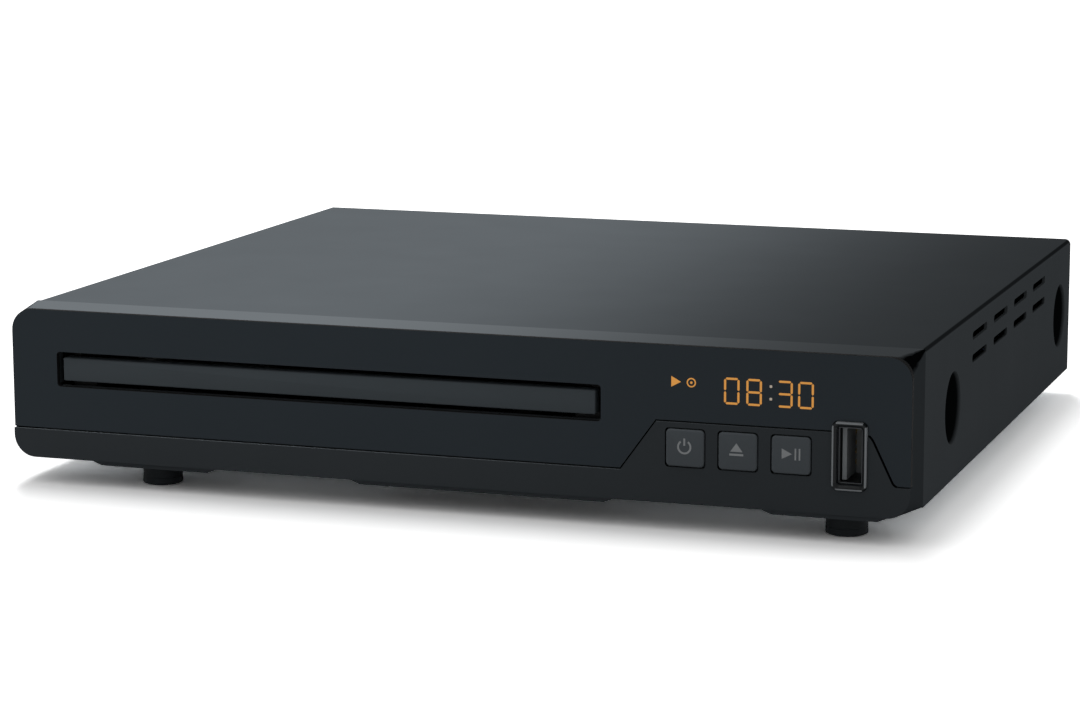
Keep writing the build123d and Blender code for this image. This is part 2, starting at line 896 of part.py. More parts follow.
def front_board():
    """The upright circuit board behind the keys and the display."""
    top = roof_z - front_board_margin
    body = block(front_board_left, front_board_right, board_face_y, board_face_y + board_thick,
                 base_z + front_board_margin, top)
    body += block(front_board_right - 1, front_board_arm, board_face_y, board_face_y + board_thick,
                  top - front_board_arm_height, top)
    for x, z in front_boss_places():
        body -= bar_y(x, z, board_face_y - 1, board_face_y + board_thick + 1, screw_radius + seat_gap)
    return body


def inner_screws():
    """The screws of the front board, the loader, the main board and the power board."""
    face = board_face_y + board_thick
    solids = [screw_y(x, z, face, 5, 1) for x, z in front_boss_places()]
    solids += [screw_down(x, y, pan_z + standoff_height + 2, 5) for x, y in loader_ears()]
    return solids + [screw_down(x, y, board_top, 5) for x, y in main_board_holes() + power_board_holes()]


def display_module():
    """The segment display's housing, just behind the smoked panel."""
    half = display_width / 2
    high = display_height / 2
    front = panel_back_y + run_gap
    body = block(display_x - half, display_x + half, front, board_face_y, display_z - high, display_z + high)
    return body


def remote_sensor():
    """The remote control's receiver: a dome behind the panel on a block on the front board."""
    dome = bar_y(sensor_x, display_z, panel_back_y + run_gap, board_face_y - 4, sensor_radius)
    half = sensor_radius
    return dome + block(sensor_x - half, sensor_x + half, board_face_y - 5, board_face_y,
                        display_z - half, display_z + half)


def usb_trim():
    """The glossy bevelled frame round the USB socket."""
    face = front_y - usb_frame_proud
    opening_width = usb_shell_width + 2 * seat_gap
    opening_height = usb_shell_height + 2 * seat_gap
    opening = front_rectangle(opening_width, opening_height, 0.6, usb_x, usb_z)
    body = slab_y(usb_pocket(), face, bezel_back_y)
    outer_edges = body.faces().sort_by(Axis.Y)[0].edges()
    body = fillet(outer_edges, usb_bevel / 2)
    body -= slab_y(opening, face - 1, bezel_back_y + 1)
    front = body.faces().sort_by(Axis.Y)[0]
    inner_edges = front.inner_wires()[0].edges()
    return chamfer(inner_edges, usb_bevel)


def usb_shell():
    """The USB socket's folded metal shell."""
    mouth = front_y + usb_mouth_inset
    outer = front_rectangle(usb_shell_width, usb_shell_height, 0.5, usb_x, usb_z)
    wall = usb_shell_wall
    inner = front_rectangle(usb_shell_width - 2 * wall, usb_shell_height - 2 * wall, 0.3, usb_x, usb_z)
    body = slab_y(outer, mouth, mouth + usb_shell_length)
    return body - slab_y(inner, mouth - 1, mouth + usb_shell_length - wall)


def usb_tongue():
    """The contact tongue inside the shell, with its base at the back."""
    mouth = front_y + usb_mouth_inset
    left = usb_x - usb_shell_width / 2 + usb_shell_wall + usb_tongue_gap
    back = mouth + usb_shell_length - usb_shell_wall
    half = usb_tongue_height / 2
    body = block(left, left + usb_tongue_thick, mouth + usb_tongue_inset, back, usb_z - half, usb_z + half)
    base_half = usb_shell_width / 2 - usb_shell_wall
    high = usb_shell_height / 2 - usb_shell_wall
    base = block(usb_x - base_half, usb_x + base_half, back - 3, back, usb_z - high, usb_z + high)
    return body + base - mitre_cut(base_half, high, back)


def mitre_cut(base_half, high, back):
    """Takes the corners off the tongue's base, so that it clears the shell's bends."""
    outer = block(usb_x - base_half - 1, usb_x + base_half + 1, back - 4, back + 1,
                  usb_z - high - 1, usb_z + high + 1)
    keep = slab_y(front_rectangle(2 * base_half, 2 * high, 0.3, usb_x, usb_z), back - 4, back + 1)
    return outer - keep


def usb_board():
    """The small upright board that the USB socket is soldered to."""
    left = usb_x + usb_shell_width / 2
    start = bezel_back_y + 0.5
    low = usb_z - usb_board_height / 2
    return block(left, left + board_thick, start, start + usb_board_length, low, low + usb_board_height)


# Loader


def loader_frame():
    """The moulded loader chassis: walls, floor, tray ledges, hooks, gear posts and ears."""
    left = loader_x - loader_half
    right = loader_x + loader_half
    body = block(left, right, loader_y, loader_end_y, loader_floor, floor_top)
    for side in (-1, 1):
        outer = loader_x + side * loader_half
        inner = outer - side * loader_wall
        ledge = inner - side * ledge_width
        body += block(min(outer, inner), max(outer, inner), loader_y, loader_end_y,
                      loader_wall_bottom, loader_wall_top)
        body += block(min(inner, ledge), max(inner, ledge), loader_y, loader_end_y,
                      rail_z - ledge_thick, rail_z)
        for y in (loader_y + 2, loader_y + 60, loader_y + 118):
            low = tray_top + run_gap
            body += block(min(inner, ledge), max(inner, ledge), y, y + hook_length, low, low + hook_thick)
    body += block(left, right, loader_end_y - loader_wall, loader_end_y, loader_wall_bottom, floor_top)
    body -= block(frame_open_left, frame_open_right, guide_wall_y, traverse_rear_y + 6,
                  loader_floor - 1, floor_top + 1)
    body += block(left + 1, right - 1, guide_wall_y - loader_wall, guide_wall_y, loader_wall_bottom, 23.0)
    for offset in guide_peg_x:
        body += bar_y(loader_x + offset, hinge_z, guide_wall_y - 0.5, cam_rear_y + 0.6, guide_peg_radius)
    body += hinge_brackets()
    body += rear_fence()
    for x, y in loader_ears():
        lug = block(x - 4.5, x + 4.5, y - 5, y + 5, pan_z + standoff_height, pan_z + standoff_height + 2)
        body += lug
        body -= pilot_down(x, y, pan_z + standoff_height + 3, 4)
    body -= block(loader_x - cam_half - 1, loader_x + cam_half + cam_travel + 1, guide_wall_y, cam_rear_y + 1,
                  loader_floor - 1, floor_top + 1)
    for x in (gear_x, pulley_x):
        body += post(x, gear_y, floor_top - 1, wheel_bottom - run_gap, gear_post_radius + 1.5)
        body += post(x, gear_y, floor_top - 1, pulley_bottom + pulley_thick, gear_post_radius)
    motor_top = motor_bottom + motor_height
    body += post(motor_x, gear_y, loader_floor, motor_top + motor_cup_wall / 2, motor_radius + motor_cup_wall)
    body -= post(motor_x, gear_y, loader_floor - 1, motor_top, motor_radius + seat_gap)
    body -= post(motor_x, gear_y, motor_top - 1, motor_top + 3, motor_shaft_radius + 1.5)
    return body


def rear_fence():
    """Low ribs across the loader's rear floor."""
    y = traverse_rear_y + 6
    return [block(loader_x - 60, loader_x + 60, y, y + 1.6, floor_top - 0.5, floor_top + 3.5)]


def hinge_brackets():
    """The two ears that hold the traverse's hinge pins."""
    brackets = []
    for side in (-1, 1):
        inner = loader_x + side * (traverse_half + run_gap)
        outer = loader_x + side * (traverse_half + hinge_pin_length + 1)
        low, high = min(inner, outer), max(inner, outer)
        ear = block(low, high, hinge_y - 4, hinge_y + 8, loader_floor, hinge_z + 4)
        ear -= bar_x(hinge_y, hinge_z, low - 1, high + 1, hinge_pin_radius + shaft_fit)
        brackets.append(ear)
    return brackets


def disc_tray():
    """The disc tray: wells for both disc sizes, the open slot, skirts and the toothed rack."""
    y0 = tray_y
    y1 = tray_y + tray_length
    left = loader_x - tray_half
    right = loader_x + tray_half
    body = block(left, right, y0, y1, tray_plate_bottom, tray_top)
    skirts = block(left, right, y0, y1, tray_bottom, tray_plate_bottom)
    skirts -= block(left + tray_skirt, right - tray_skirt, y0 - 1, y1 + 1, tray_bottom - 1, tray_plate_bottom)
    body += skirts
    well_z = tray_top - disc_well
    body -= post(loader_x, spindle_y, well_z, tray_top + 1, disc_radius + 0.6)
    body -= post(loader_x, spindle_y, well_z - small_disc_well, well_z + 1, small_disc_radius)
    opening = Pos(loader_x, spindle_y) * Circle(tray_slot_half)
    opening += Pos(loader_x, (spindle_y + y1 + 1) / 2) * Rectangle(2 * tray_slot_half, y1 + 1 - spindle_y)
    body -= slab_z(opening, tray_bottom - 1, tray_top + 1)
    pitch_x = loader_x + rack_offset
    back_x = pitch_x + tooth_dedendum * drive_module + rack_back
    rack_end = gear_y + tray_travel + rack_overrun
    body += rack_bar(drive_module, gear_y, y0 + 2, rack_end, pitch_x, back_x, tray_bottom, tray_plate_bottom)
    for side in (-1, 1):
        x = loader_x + side * (tray_slot_half + 3)
        body += block(x - 0.8, x + 0.8, spindle_y, y1 - 1, tray_bottom + 1, tray_plate_bottom)
    return body


def tray_door():
    """The narrow door on the tray's front end."""
    face = front_y + door_setback
    body = slab_y(front_rectangle(door_width, door_height, door_corner, loader_x, door_z), face, tray_y)
    return chamfer(body.faces().sort_by(Axis.Y)[0].edges(), 0.3)


def drive_gear():
    """The tray's gear: a wheel below, a pinion in the rack above, on one hub."""
    pinion_low = tray_bottom + run_gap
    pinion_high = tray_plate_bottom - run_gap
    hub = post(0, 0, wheel_bottom, pinion_high, drive_hub_radius)
    body = hub + Pos(0, 0, wheel_bottom) * gear(wheel_teeth, wheel_module, wheel_thick)
    body += Pos(0, 0, pinion_low) * gear(drive_pinion_teeth, drive_module, pinion_high - pinion_low)
    bore_top = pulley_bottom + pulley_thick + run_gap
    body -= post(0, 0, wheel_bottom - 1, bore_top, gear_post_radius + shaft_fit)
    return Pos(gear_x, gear_y, 0) * body


def grooved_pulley(radius, low, thick):
    """A belt pulley with a V groove, about the Z axis."""
    high = low + thick
    middle = (low + high) / 2
    section = Polygon(
        (0, low),
        (radius, low),
        (radius - pulley_groove, middle - 0.3),
        (radius - pulley_groove, middle + 0.3),
        (radius, high),
        (0, high),
        align=None,
    )
    return revolve(Plane.XZ * section, Axis.Z)


def pulley_gear():
    """The belt's large pulley with the pinion that turns the tray's gear."""
    half_step = 180 / pulley_pinion_teeth
    body = grooved_pulley(pulley_radius, pulley_bottom, pulley_thick)
    body += Pos(0, 0, wheel_bottom) * gear(
        pulley_pinion_teeth, wheel_module, pulley_bottom - wheel_bottom + 0.1, half_step)
    body -= post(0, 0, wheel_bottom - 1, pulley_bottom + pulley_thick + 1, gear_post_radius + shaft_fit)
    return Pos(pulley_x, gear_y, 0) * body


def motor_pulley():
    """The small pulley on the loading motor's shaft."""
    body = grooved_pulley(motor_pulley_radius, pulley_bottom, pulley_thick)
    body -= post(0, 0, pulley_bottom - 1, pulley_bottom + pulley_thick + 1, motor_shaft_radius + shaft_fit)
    return Pos(motor_x, gear_y, 0) * body


def drive_belt():
    """The rubber belt round both pulleys, with straight runs that lean to the smaller one."""
    middle = pulley_bottom + pulley_thick / 2
    large = pulley_radius - pulley_groove + seat_gap
    small = motor_pulley_radius - pulley_groove + seat_gap
    outer = belt_outline(large + belt_size, small + belt_size)
    return slab_z(outer - belt_outline(large, small), middle - belt_size / 4, middle + belt_size / 4)


def belt_outline(large, small):
    """The area inside a belt round two circles, with its two tangent lines."""
    lean = (large - small) / motor_distance
    rise = (1 - lean * lean) ** 0.5
    corners = []
    for centre, radius in ((pulley_x, large), (motor_x, small)):
        corners.append((centre - radius * lean, gear_y + radius * rise))
        corners.append((centre - radius * lean, gear_y - radius * rise))
    area = Polygon(corners[0], corners[2], corners[3], corners[1], align=None)
    return area + Pos(pulley_x, gear_y) * Circle(large) + Pos(motor_x, gear_y) * Circle(small)


def loading_motor():
    """The loading motor in its cup in the loader's floor, with its shaft through the cup."""
    top = motor_bottom + motor_height
    body = post(motor_x, gear_y, motor_bottom, top, motor_radius)
    return body + post(motor_x, gear_y, top, pulley_bottom + pulley_thick - 0.3, motor_shaft_radius)


def cam_slider():
    """The sliding bar whose slanted slot raises and lowers the traverse's front."""
    low = hinge_z - cam_drop - cam_pin_radius - cam_slack - 1.6
    high = hinge_z + cam_pin_radius + cam_slack + 1.6
    body = block(loader_x - cam_half, loader_x + cam_half, cam_front_y, cam_rear_y, low, high)
    top_end = (loader_x + cam_pin_x, hinge_z)
    foot_end = (loader_x + cam_pin_x - cam_travel, hinge_z - cam_drop)
    opening = SlotCenterToCenter(cam_length(), 2 * (cam_pin_radius + cam_slack))
    middle = ((top_end[0] + foot_end[0]) / 2, (top_end[1] + foot_end[1]) / 2)
    opening = Pos(*middle) * Rot(0, 0, cam_angle()) * opening
    body -= slab_y(opening, cam_front_y - 1, cam_rear_y + 1)
    for offset in guide_peg_x:
        straight = Pos(loader_x + offset - cam_travel / 2, hinge_z) * SlotCenterToCenter(
            cam_travel, 2 * (guide_peg_radius + run_gap))
        body -= slab_y(straight, cam_front_y - 1, cam_rear_y + 1)
    return body


def cam_length():
    """The slanted slot's length between its end centres."""
    return (cam_travel ** 2 + cam_drop ** 2) ** 0.5


def cam_angle():
    """The slanted slot's slope in degrees."""
    return Vector(cam_travel, cam_drop).get_angle(Vector(1, 0))


# Traverse


def traverse_frame():
    """The hinged sub-chassis: an open frame with a motor seat, rod seats, a wing and two pins."""
    left = loader_x - traverse_half
    right = loader_x + traverse_half
    body = block(left, right, traverse_front_y, traverse_rear_y, traverse_bottom, traverse_top)
    open_front = spindle_y + 12.4
    open_rear = traverse_rear_y - 5
    body -= block(left + traverse_rail, right - traverse_rail, open_front, open_rear,
                  traverse_bottom - 1, traverse_top + 1)
    wing_y0 = sled_motor_y - sled_motor_radius - 2
    wing_y1 = sled_motor_y + sled_motor_radius + 2
    body += block(right - traverse_rail, right + wing_reach, wing_y0, wing_y1, traverse_bottom, traverse_top)
    body += block(sled_gear_x - 1.8, right - 1, sled_gear_y - 4, sled_gear_y + 4,
                  traverse_bottom, traverse_top)
    body += post(sled_gear_x, sled_gear_y, traverse_top - 1, traverse_top + 0.4, 1.8)
    body += post(sled_gear_x, sled_gear_y, traverse_top - 1, sled_gear_bottom + sled_gear_thick + 0.6, 1.0)
    body -= post(sled_motor_x, sled_motor_y, traverse_bottom - 1, traverse_top + 1, 2.2)
    body -= post(loader_x, spindle_y, traverse_bottom - 1, traverse_top - 1.5, spindle_motor_radius + seat_gap)
    body -= post(loader_x, spindle_y, traverse_bottom, traverse_top + 1, 4.0)
    for side in (-1, 1):
        x = loader_x + side * rod_offset
        body -= bar_y(x, hinge_z, open_front - 6, open_rear + 4, rod_radius + shaft_fit)
        inner = loader_x + side * (traverse_half - 2)
        outer = loader_x + side * (traverse_half + hinge_pin_length)
        arm = block(min(inner, loader_x + side * traverse_half), max(inner, loader_x + side * traverse_half),
                    traverse_rear_y - 1, hinge_y + 2, traverse_bottom, traverse_top)
        body += arm
        body += bar_x(hinge_y, hinge_z, min(inner, outer), max(inner, outer), hinge_pin_radius)
    body += bar_y(loader_x + cam_pin_x, hinge_z, cam_front_y + 0.5, traverse_front_y + 1, cam_pin_radius)
    return body


def guide_rods():
    """The two polished rods that the pickup slides on."""
    y0 = spindle_y + 12.4 - 5.8
    y1 = traverse_rear_y - 5 + 3.8
    return [bar_y(loader_x + side * rod_offset, hinge_z, y0, y1, rod_radius) for side in (-1, 1)]


def spindle_motor():
    """The flat spindle motor under the traverse, with its shaft."""
    top = traverse_top - 1.5
    body = post(loader_x, spindle_y, top - spindle_motor_height, top, spindle_motor_radius)
    body += post(loader_x, spindle_y, top, top + 3.2, 3.0)
    return body + post(loader_x, spindle_y, top, hub_top - 1.2, spindle_radius)


def turntable():
    """The turntable: a platform, a centring hub and the bore for the shaft."""
    section = Polygon(
        (0, turntable_bottom),
        (turntable_radius - 3, turntable_bottom),
        (turntable_radius, turntable_top - 1.6),
        (turntable_radius, turntable_top),
        (hub_radius, turntable_top),
        (hub_radius - 0.3, hub_top - 1),
        (hub_radius - 2, hub_top),
        (0, hub_top),
        align=None,
    )
    body = revolve(Plane.XZ * section, Axis.Z)
    body -= post(0, 0, turntable_bottom - 1, hub_top - 1, spindle_radius + shaft_fit)
    return Pos(loader_x, spindle_y, 0) * body


def pickup_sled():
    """The pickup's moulded carriage, with bushes on one rod, a fork on the other and a rack."""
    y0 = lens_y - sled_front
    y1 = lens_y + sled_rear
    body = block(loader_x - sled_half, loader_x + sled_half, y0, y1, sled_bottom, sled_top)
    body -= block(loader_x - 13, loader_x + 13, y0 + 3, y1 - 3, sled_bottom + 3, sled_top + 1)
    for y in (y0, y1 - 6):
        x = loader_x - rod_offset
        body += block(x - 2.9, loader_x - sled_half + 1, y, y + 6, sled_bottom, hinge_z + 3.2)
        body -= bar_y(x, hinge_z, y - 1, y + 7, rod_radius + shaft_fit)
    x = loader_x + rod_offset
    middle = (y0 + y1) / 2
    body += block(loader_x + sled_half - 1, x + 1.4, middle - 3, middle + 3, sled_bottom, hinge_z + 2.3)
    body -= block(x - 1, x + 4, middle - 4, middle + 4, hinge_z - rod_radius - shaft_fit,
                  hinge_z + rod_radius + shaft_fit)
    body -= bar_y(x, hinge_z, middle - 4, middle + 4, rod_radius + shaft_fit)
    pitch_x = loader_x + sled_rack_offset
    rack_start = sled_gear_y - sled_travel
    rack_end = sled_gear_y + sled_rack_overrun
    body += rack_bar(wheel_module, sled_gear_y, rack_start, rack_end, pitch_x, loader_x + sled_half - 1,
                     sled_gear_bottom, sled_gear_bottom + sled_gear_thick)
    return body


def lens_actuator():
    """The suspended lens holder, set down in the carriage, with its cover and its lens ring."""
    y0 = lens_y - sled_front + 3
    y1 = lens_y + sled_rear - 3
    floor_z = sled_bottom + actuator_floor
    body = block(loader_x - actuator_half, loader_x + actuator_half, lens_y - actuator_front,
                 lens_y + actuator_rear, floor_z, lens_top - actuator_drop)
    body -= post(loader_x, lens_y, lens_top - lens_seat_depth, lens_top, lens_radius + 1)
    wings = block(loader_x - actuator_wing_half, loader_x + actuator_wing_half, y0 + 0.3, y1 - 0.3,
                  floor_z, floor_z + actuator_wing_thick)
    return body + wings


def lens():
    """The objective lens in its seat."""
    dome = Pos(loader_x, lens_y, 0) * revolve(
        Plane.XZ * Polygon(
            (0, lens_top - 3.4),
            (lens_radius + 0.9, lens_top - 3.4),
            (lens_radius + 0.9, lens_top - 1.9),
            (lens_radius, lens_top - 1.4),
            (lens_radius * 0.8, lens_top - 0.6),
            (lens_radius * 0.45, lens_top - 0.1),
            (0, lens_top),
            align=None,
        ), Axis.Z)
    return dome


def sled_gear():
    """The gear between the sled motor's pinion and the sled's rack."""
    body = gear(sled_wheel_teeth, wheel_module, sled_gear_thick)
    body -= post(0, 0, -1, sled_gear_thick + 1, 1.0 + shaft_fit)
    return Pos(sled_gear_x, sled_gear_y, sled_gear_bottom) * body


def sled_pinion():
    """The pinion on the sled motor's shaft."""
    body = gear(sled_pinion_teeth, wheel_module, sled_gear_thick)
    body -= post(0, 0, -1, sled_gear_thick + 1, motor_shaft_radius + shaft_fit)
    return Pos(sled_motor_x, sled_motor_y, sled_gear_bottom) * body


def sled_motor():
    """The sled motor under the traverse's wing, with its shaft."""
    top = traverse_bottom
    body = post(sled_motor_x, sled_motor_y, top - sled_motor_height, top, sled_motor_radius)
    shaft_top = sled_gear_bottom + sled_gear_thick
    return body + post(sled_motor_x, sled_motor_y, top, shaft_top, motor_shaft_radius)


def clamp_bridge():
    """The bridge over the tray that holds the clamp, on two legs on the loader's walls."""
    left = loader_x - loader_half
    right = loader_x + loader_half
    y0 = spindle_y - bridge_half_depth
    y1 = spindle_y + bridge_half_depth
    body = block(left, right, y0, y1, bridge_bottom, bridge_bottom + bridge_thick)
    body += block(left, left + 4, y0, y1, loader_wall_top, bridge_bottom)
    body += block(right - 4, right, y0, y1, loader_wall_top, bridge_bottom)
    body += post(loader_x, spindle_y, bridge_bottom, bridge_bottom + bridge_thick, bridge_half_depth + 3)
    return body - post(loader_x, spindle_y, bridge_bottom - 1, bridge_bottom + 4, clamp_neck_radius + 0.6)


def clamp_puck():
    """The magnetic clamp: a lower disc, a neck through the bridge and an upper flange."""
    neck_low = bridge_bottom - 0.4
    neck_high = bridge_bottom + bridge_thick + 0.4
    body = post(loader_x, spindle_y, clamp_bottom, neck_low, clamp_radius)
    body += post(loader_x, spindle_y, neck_low, neck_high, clamp_neck_radius)
    body += post(loader_x, spindle_y, neck_high, clamp_top, clamp_flange_radius)
    return body - post(loader_x, spindle_y, clamp_bottom - 1, clamp_bottom + 1, hub_radius - 1)


# Electronics


def board_with_holes(x0, x1, y0, y1, holes):
    """A circuit board with its screw holes."""
    body = block(x0, x1, y0, y1, board_z, board_top)
    for x, y in holes:
        body -= pilot_down(x, y, board_top + 1, board_thick + 2)
    return body


def main_board():
    """The main board along the right side."""
    rear = panel_inner_y - 1.5
    return board_with_holes(main_board_left, main_board_right, rear - main_board_length + 1.5, rear,
                            main_board_holes())


def power_board():
    """The mains power board behind the loader."""
    rear = panel_inner_y - 1.5
    return board_with_holes(power_board_left, power_board_right, rear - power_board_depth, rear,
                            power_board_holes())


def board_chips():
    """The decoder, two memory chips and the motor driver on the main board."""
    x = (main_board_left + main_board_right) / 2
    y = panel_inner_y - main_board_length / 2
    half = decoder_half
    decoder = block(x - half, x + half, y - half, y + half, board_top, board_top + decoder_thick)
    far, near = working_memory_reach
    working_memory = block(x - working_memory_half, x + working_memory_half, y - far, y - near,
                           board_top, board_top + working_memory_thick)
    inner, outer = program_memory_reach
    program_memory = block(x + inner, x + outer, y - program_memory_half, y + program_memory_half,
                           board_top, board_top + program_memory_thick)
    driver_x = main_board_left + chip_inset
    driver_y = panel_inner_y - main_board_length + driver_inset
    driver = block(driver_x - driver_half, driver_x + driver_half, driver_y - driver_half_depth,
                   driver_y + driver_half_depth, board_top, board_top + driver_thick)
    return [decoder, working_memory, program_memory, driver]


def plug_housing(x0, y, half):
    """A plug's housing on a board, from x0 to the right and half as long either side of y."""
    return block(x0, x0 + plug_depth, y - half, y + half, board_top, board_top + plug_height)


def board_connectors():
    """The plugs' housings: four on the main board and one on the power board."""
    left = main_board_left + plug_inset
    solids = [plug_housing(power_board_right - lead_plug_inset - plug_depth, power_lead_y(), lead_plug_half)]
    solids.append(plug_housing(left, power_lead_y(), lead_plug_half))
    for inset, length in zip(plug_places, plug_lengths):
        solids.append(plug_housing(left, panel_inner_y - inset, length / 2))
    return solids


def board_capacitors():
    """Small electrolytic capacitors on the main board."""
    solids = []
    x = main_board_right - capacitor_inset
    for number in range(capacitor_count):
        y = panel_inner_y - capacitor_first - number * capacitor_pitch
        solids.append(post(x, y, board_top, board_top + capacitor_height, capacitor_radius))
    return solids


def hdmi_socket():
    """The HDMI socket's metal shell, open to the rear."""
    z0 = board_top
    outer = Pos(hdmi_x, z0 + hdmi_height / 2) * Polygon(
        (-hdmi_width / 2, hdmi_height / 2),
        (-hdmi_width / 2, -hdmi_height / 2 + 1.6),
        (-hdmi_width / 2 + 1.6, -hdmi_height / 2),
        (hdmi_width / 2 - 1.6, -hdmi_height / 2),
        (hdmi_width / 2, -hdmi_height / 2 + 1.6),
        (hdmi_width / 2, hdmi_height / 2),
        align=None,
    )
    rear = rear_y - sheet + 0.5
    body = slab_y(outer, rear - hdmi_depth, rear)
    inner = offset(outer, -hdmi_wall, kind=Kind.INTERSECTION)
    return body - slab_y(inner, rear - hdmi_depth + 1, rear + 1)


def hdmi_tongue():
    """The contact tongue inside the HDMI socket."""
    rear = rear_y - sheet + 0.5
    z = board_top + hdmi_height / 2 + 0.3
    half = hdmi_width / 2 - 2.4
    return block(hdmi_x - half, hdmi_x + half, rear - hdmi_depth + 1, rear - 1.6, z - 0.6, z + 0.6)


def jack_block():
    """The moulded block behind the four jacks."""
    rear = panel_inner_y
    half = jack_pitch / 2 + 5.5
    body = block(jack_x - half, jack_x + half, rear - jack_depth, rear, board_top, board_top + jack_height)
    for x, z in jack_places():
        body -= bar_y(x, z, rear - 6, rear + 1, jack_bore_radius + 1.2)
    return body


def jack_sleeves():
    """The four jacks' plated sleeves, with a collar and a bore for the plug's pin."""
    solids = []
    for x, z in jack_places():
        tail = bar_y(x, z, panel_inner_y - 5.5, panel_inner_y, jack_bore_radius + 1.1)
        barrel = bar_y(x, z, panel_inner_y, rear_y + jack_reach, jack_radius)
        sleeve = tail + barrel
        solids.append(sleeve - bar_y(x, z, panel_inner_y - 5, rear_y + jack_reach + 1, jack_bore_radius))
    return solids


def mains_inlet():
    """The two-pin mains inlet with its figure-of-eight mouth."""
    z = inlet_z()
    rear = rear_y
    body = block(inlet_x - inlet_width / 2, inlet_x + inlet_width / 2, rear - inlet_depth, rear,
                 z - inlet_height / 2, z + inlet_height / 2)
    mouth = Pos(inlet_x, z) * SlotOverall(inlet_bore_width, inlet_bore_height)
    body -= slab_y(mouth, rear - inlet_depth + 3, rear + 1)
    body += block(inlet_x - inlet_width / 2, inlet_x + inlet_width / 2, rear - inlet_depth, panel_inner_y - 1,
                  board_top, z - inlet_height / 2)
    return body


def inlet_pins():
    """The inlet's two contact pins."""
    z = inlet_z()
    start = rear_y - inlet_depth + 3
    end = rear_y - 2
    return [bar_y(inlet_x + side * inlet_pin_half, z, start, end, inlet_pin_radius) for side in (-1, 1)]


def transformer_core():
    """The small ferrite core, a frame round the winding."""
    x = transformer_x
    y = panel_inner_y - 1.5 - power_board_depth / 2
    low = board_top + core_lift
    core = block(x - core_half, x + core_half, y - core_half, y + core_half, low, low + core_height)
    return core - winding_block(x, y)


def winding_block(x, y):
    """The winding's block, which fills the core's window and stands out a little at both ends."""
    half = core_half - core_wall
    reach = core_half + winding_margin
    return block(x - half, x + half, y - reach, y + reach, board_top + window_low, board_top + window_high)


def transformer_winding():
    """The taped winding and its bobbin inside the core."""
    x = transformer_x
    y = panel_inner_y - 1.5 - power_board_depth / 2
    body = winding_block(x, y)
    near = core_half + winding_margin
    for side in (-1, 1):
        middle = y + side * (near + flange_thick / 2)
        body += block(x - flange_half, x + flange_half, middle - flange_thick / 2,
                      middle + flange_thick / 2, board_top, board_top + flange_height)
    return body


def power_capacitors():
    """The tall mains capacitor and two low-voltage ones."""
    y = panel_inner_y - 1.5 - power_board_depth / 2
    x = power_board_left + mains_capacitor_inset
    solids = [post(x, y, board_top, board_top + mains_capacitor_height, mains_capacitor_radius)]
    for number in range(2):
        x = power_board_left + output_capacitor_inset + number * output_capacitor_pitch
        solids.append(post(x, y + output_capacitor_shift, board_top, board_top + output_capacitor_height,
                           output_capacitor_radius))
    return solids


def front_ribbon():
    """The flat cable from the front board back to the main board."""
    low = pan_z + ribbon_lift
    start = board_face_y + board_thick
    end = panel_inner_y - main_board_length
    x0 = main_board_left + ribbon_inset
    x1 = x0 + ribbon_width
    body = block(x0, x1, start, start + ribbon_thick, low, base_z + ribbon_rise)
    body += block(x0, x1, start, end + 4, low, low + ribbon_thick)
    return body + block(x0, x1, end + 4 - ribbon_thick, end + 4, low, board_z)


def power_lead_y():
    """The middle of the wires between the two boards, in depth."""
    return panel_inner_y - lead_inset


def power_lead():
    """The wires from the power board to the main board, side by side."""
    z = board_top + plug_height / 2
    start = power_board_right - lead_plug_inset
    end = main_board_left + plug_inset
    solids = []
    for number in (-1, 0, 1):
        solids.append(bar_x(power_lead_y() + number * wire_pitch, z, start, end, wire_radius))
    return solids


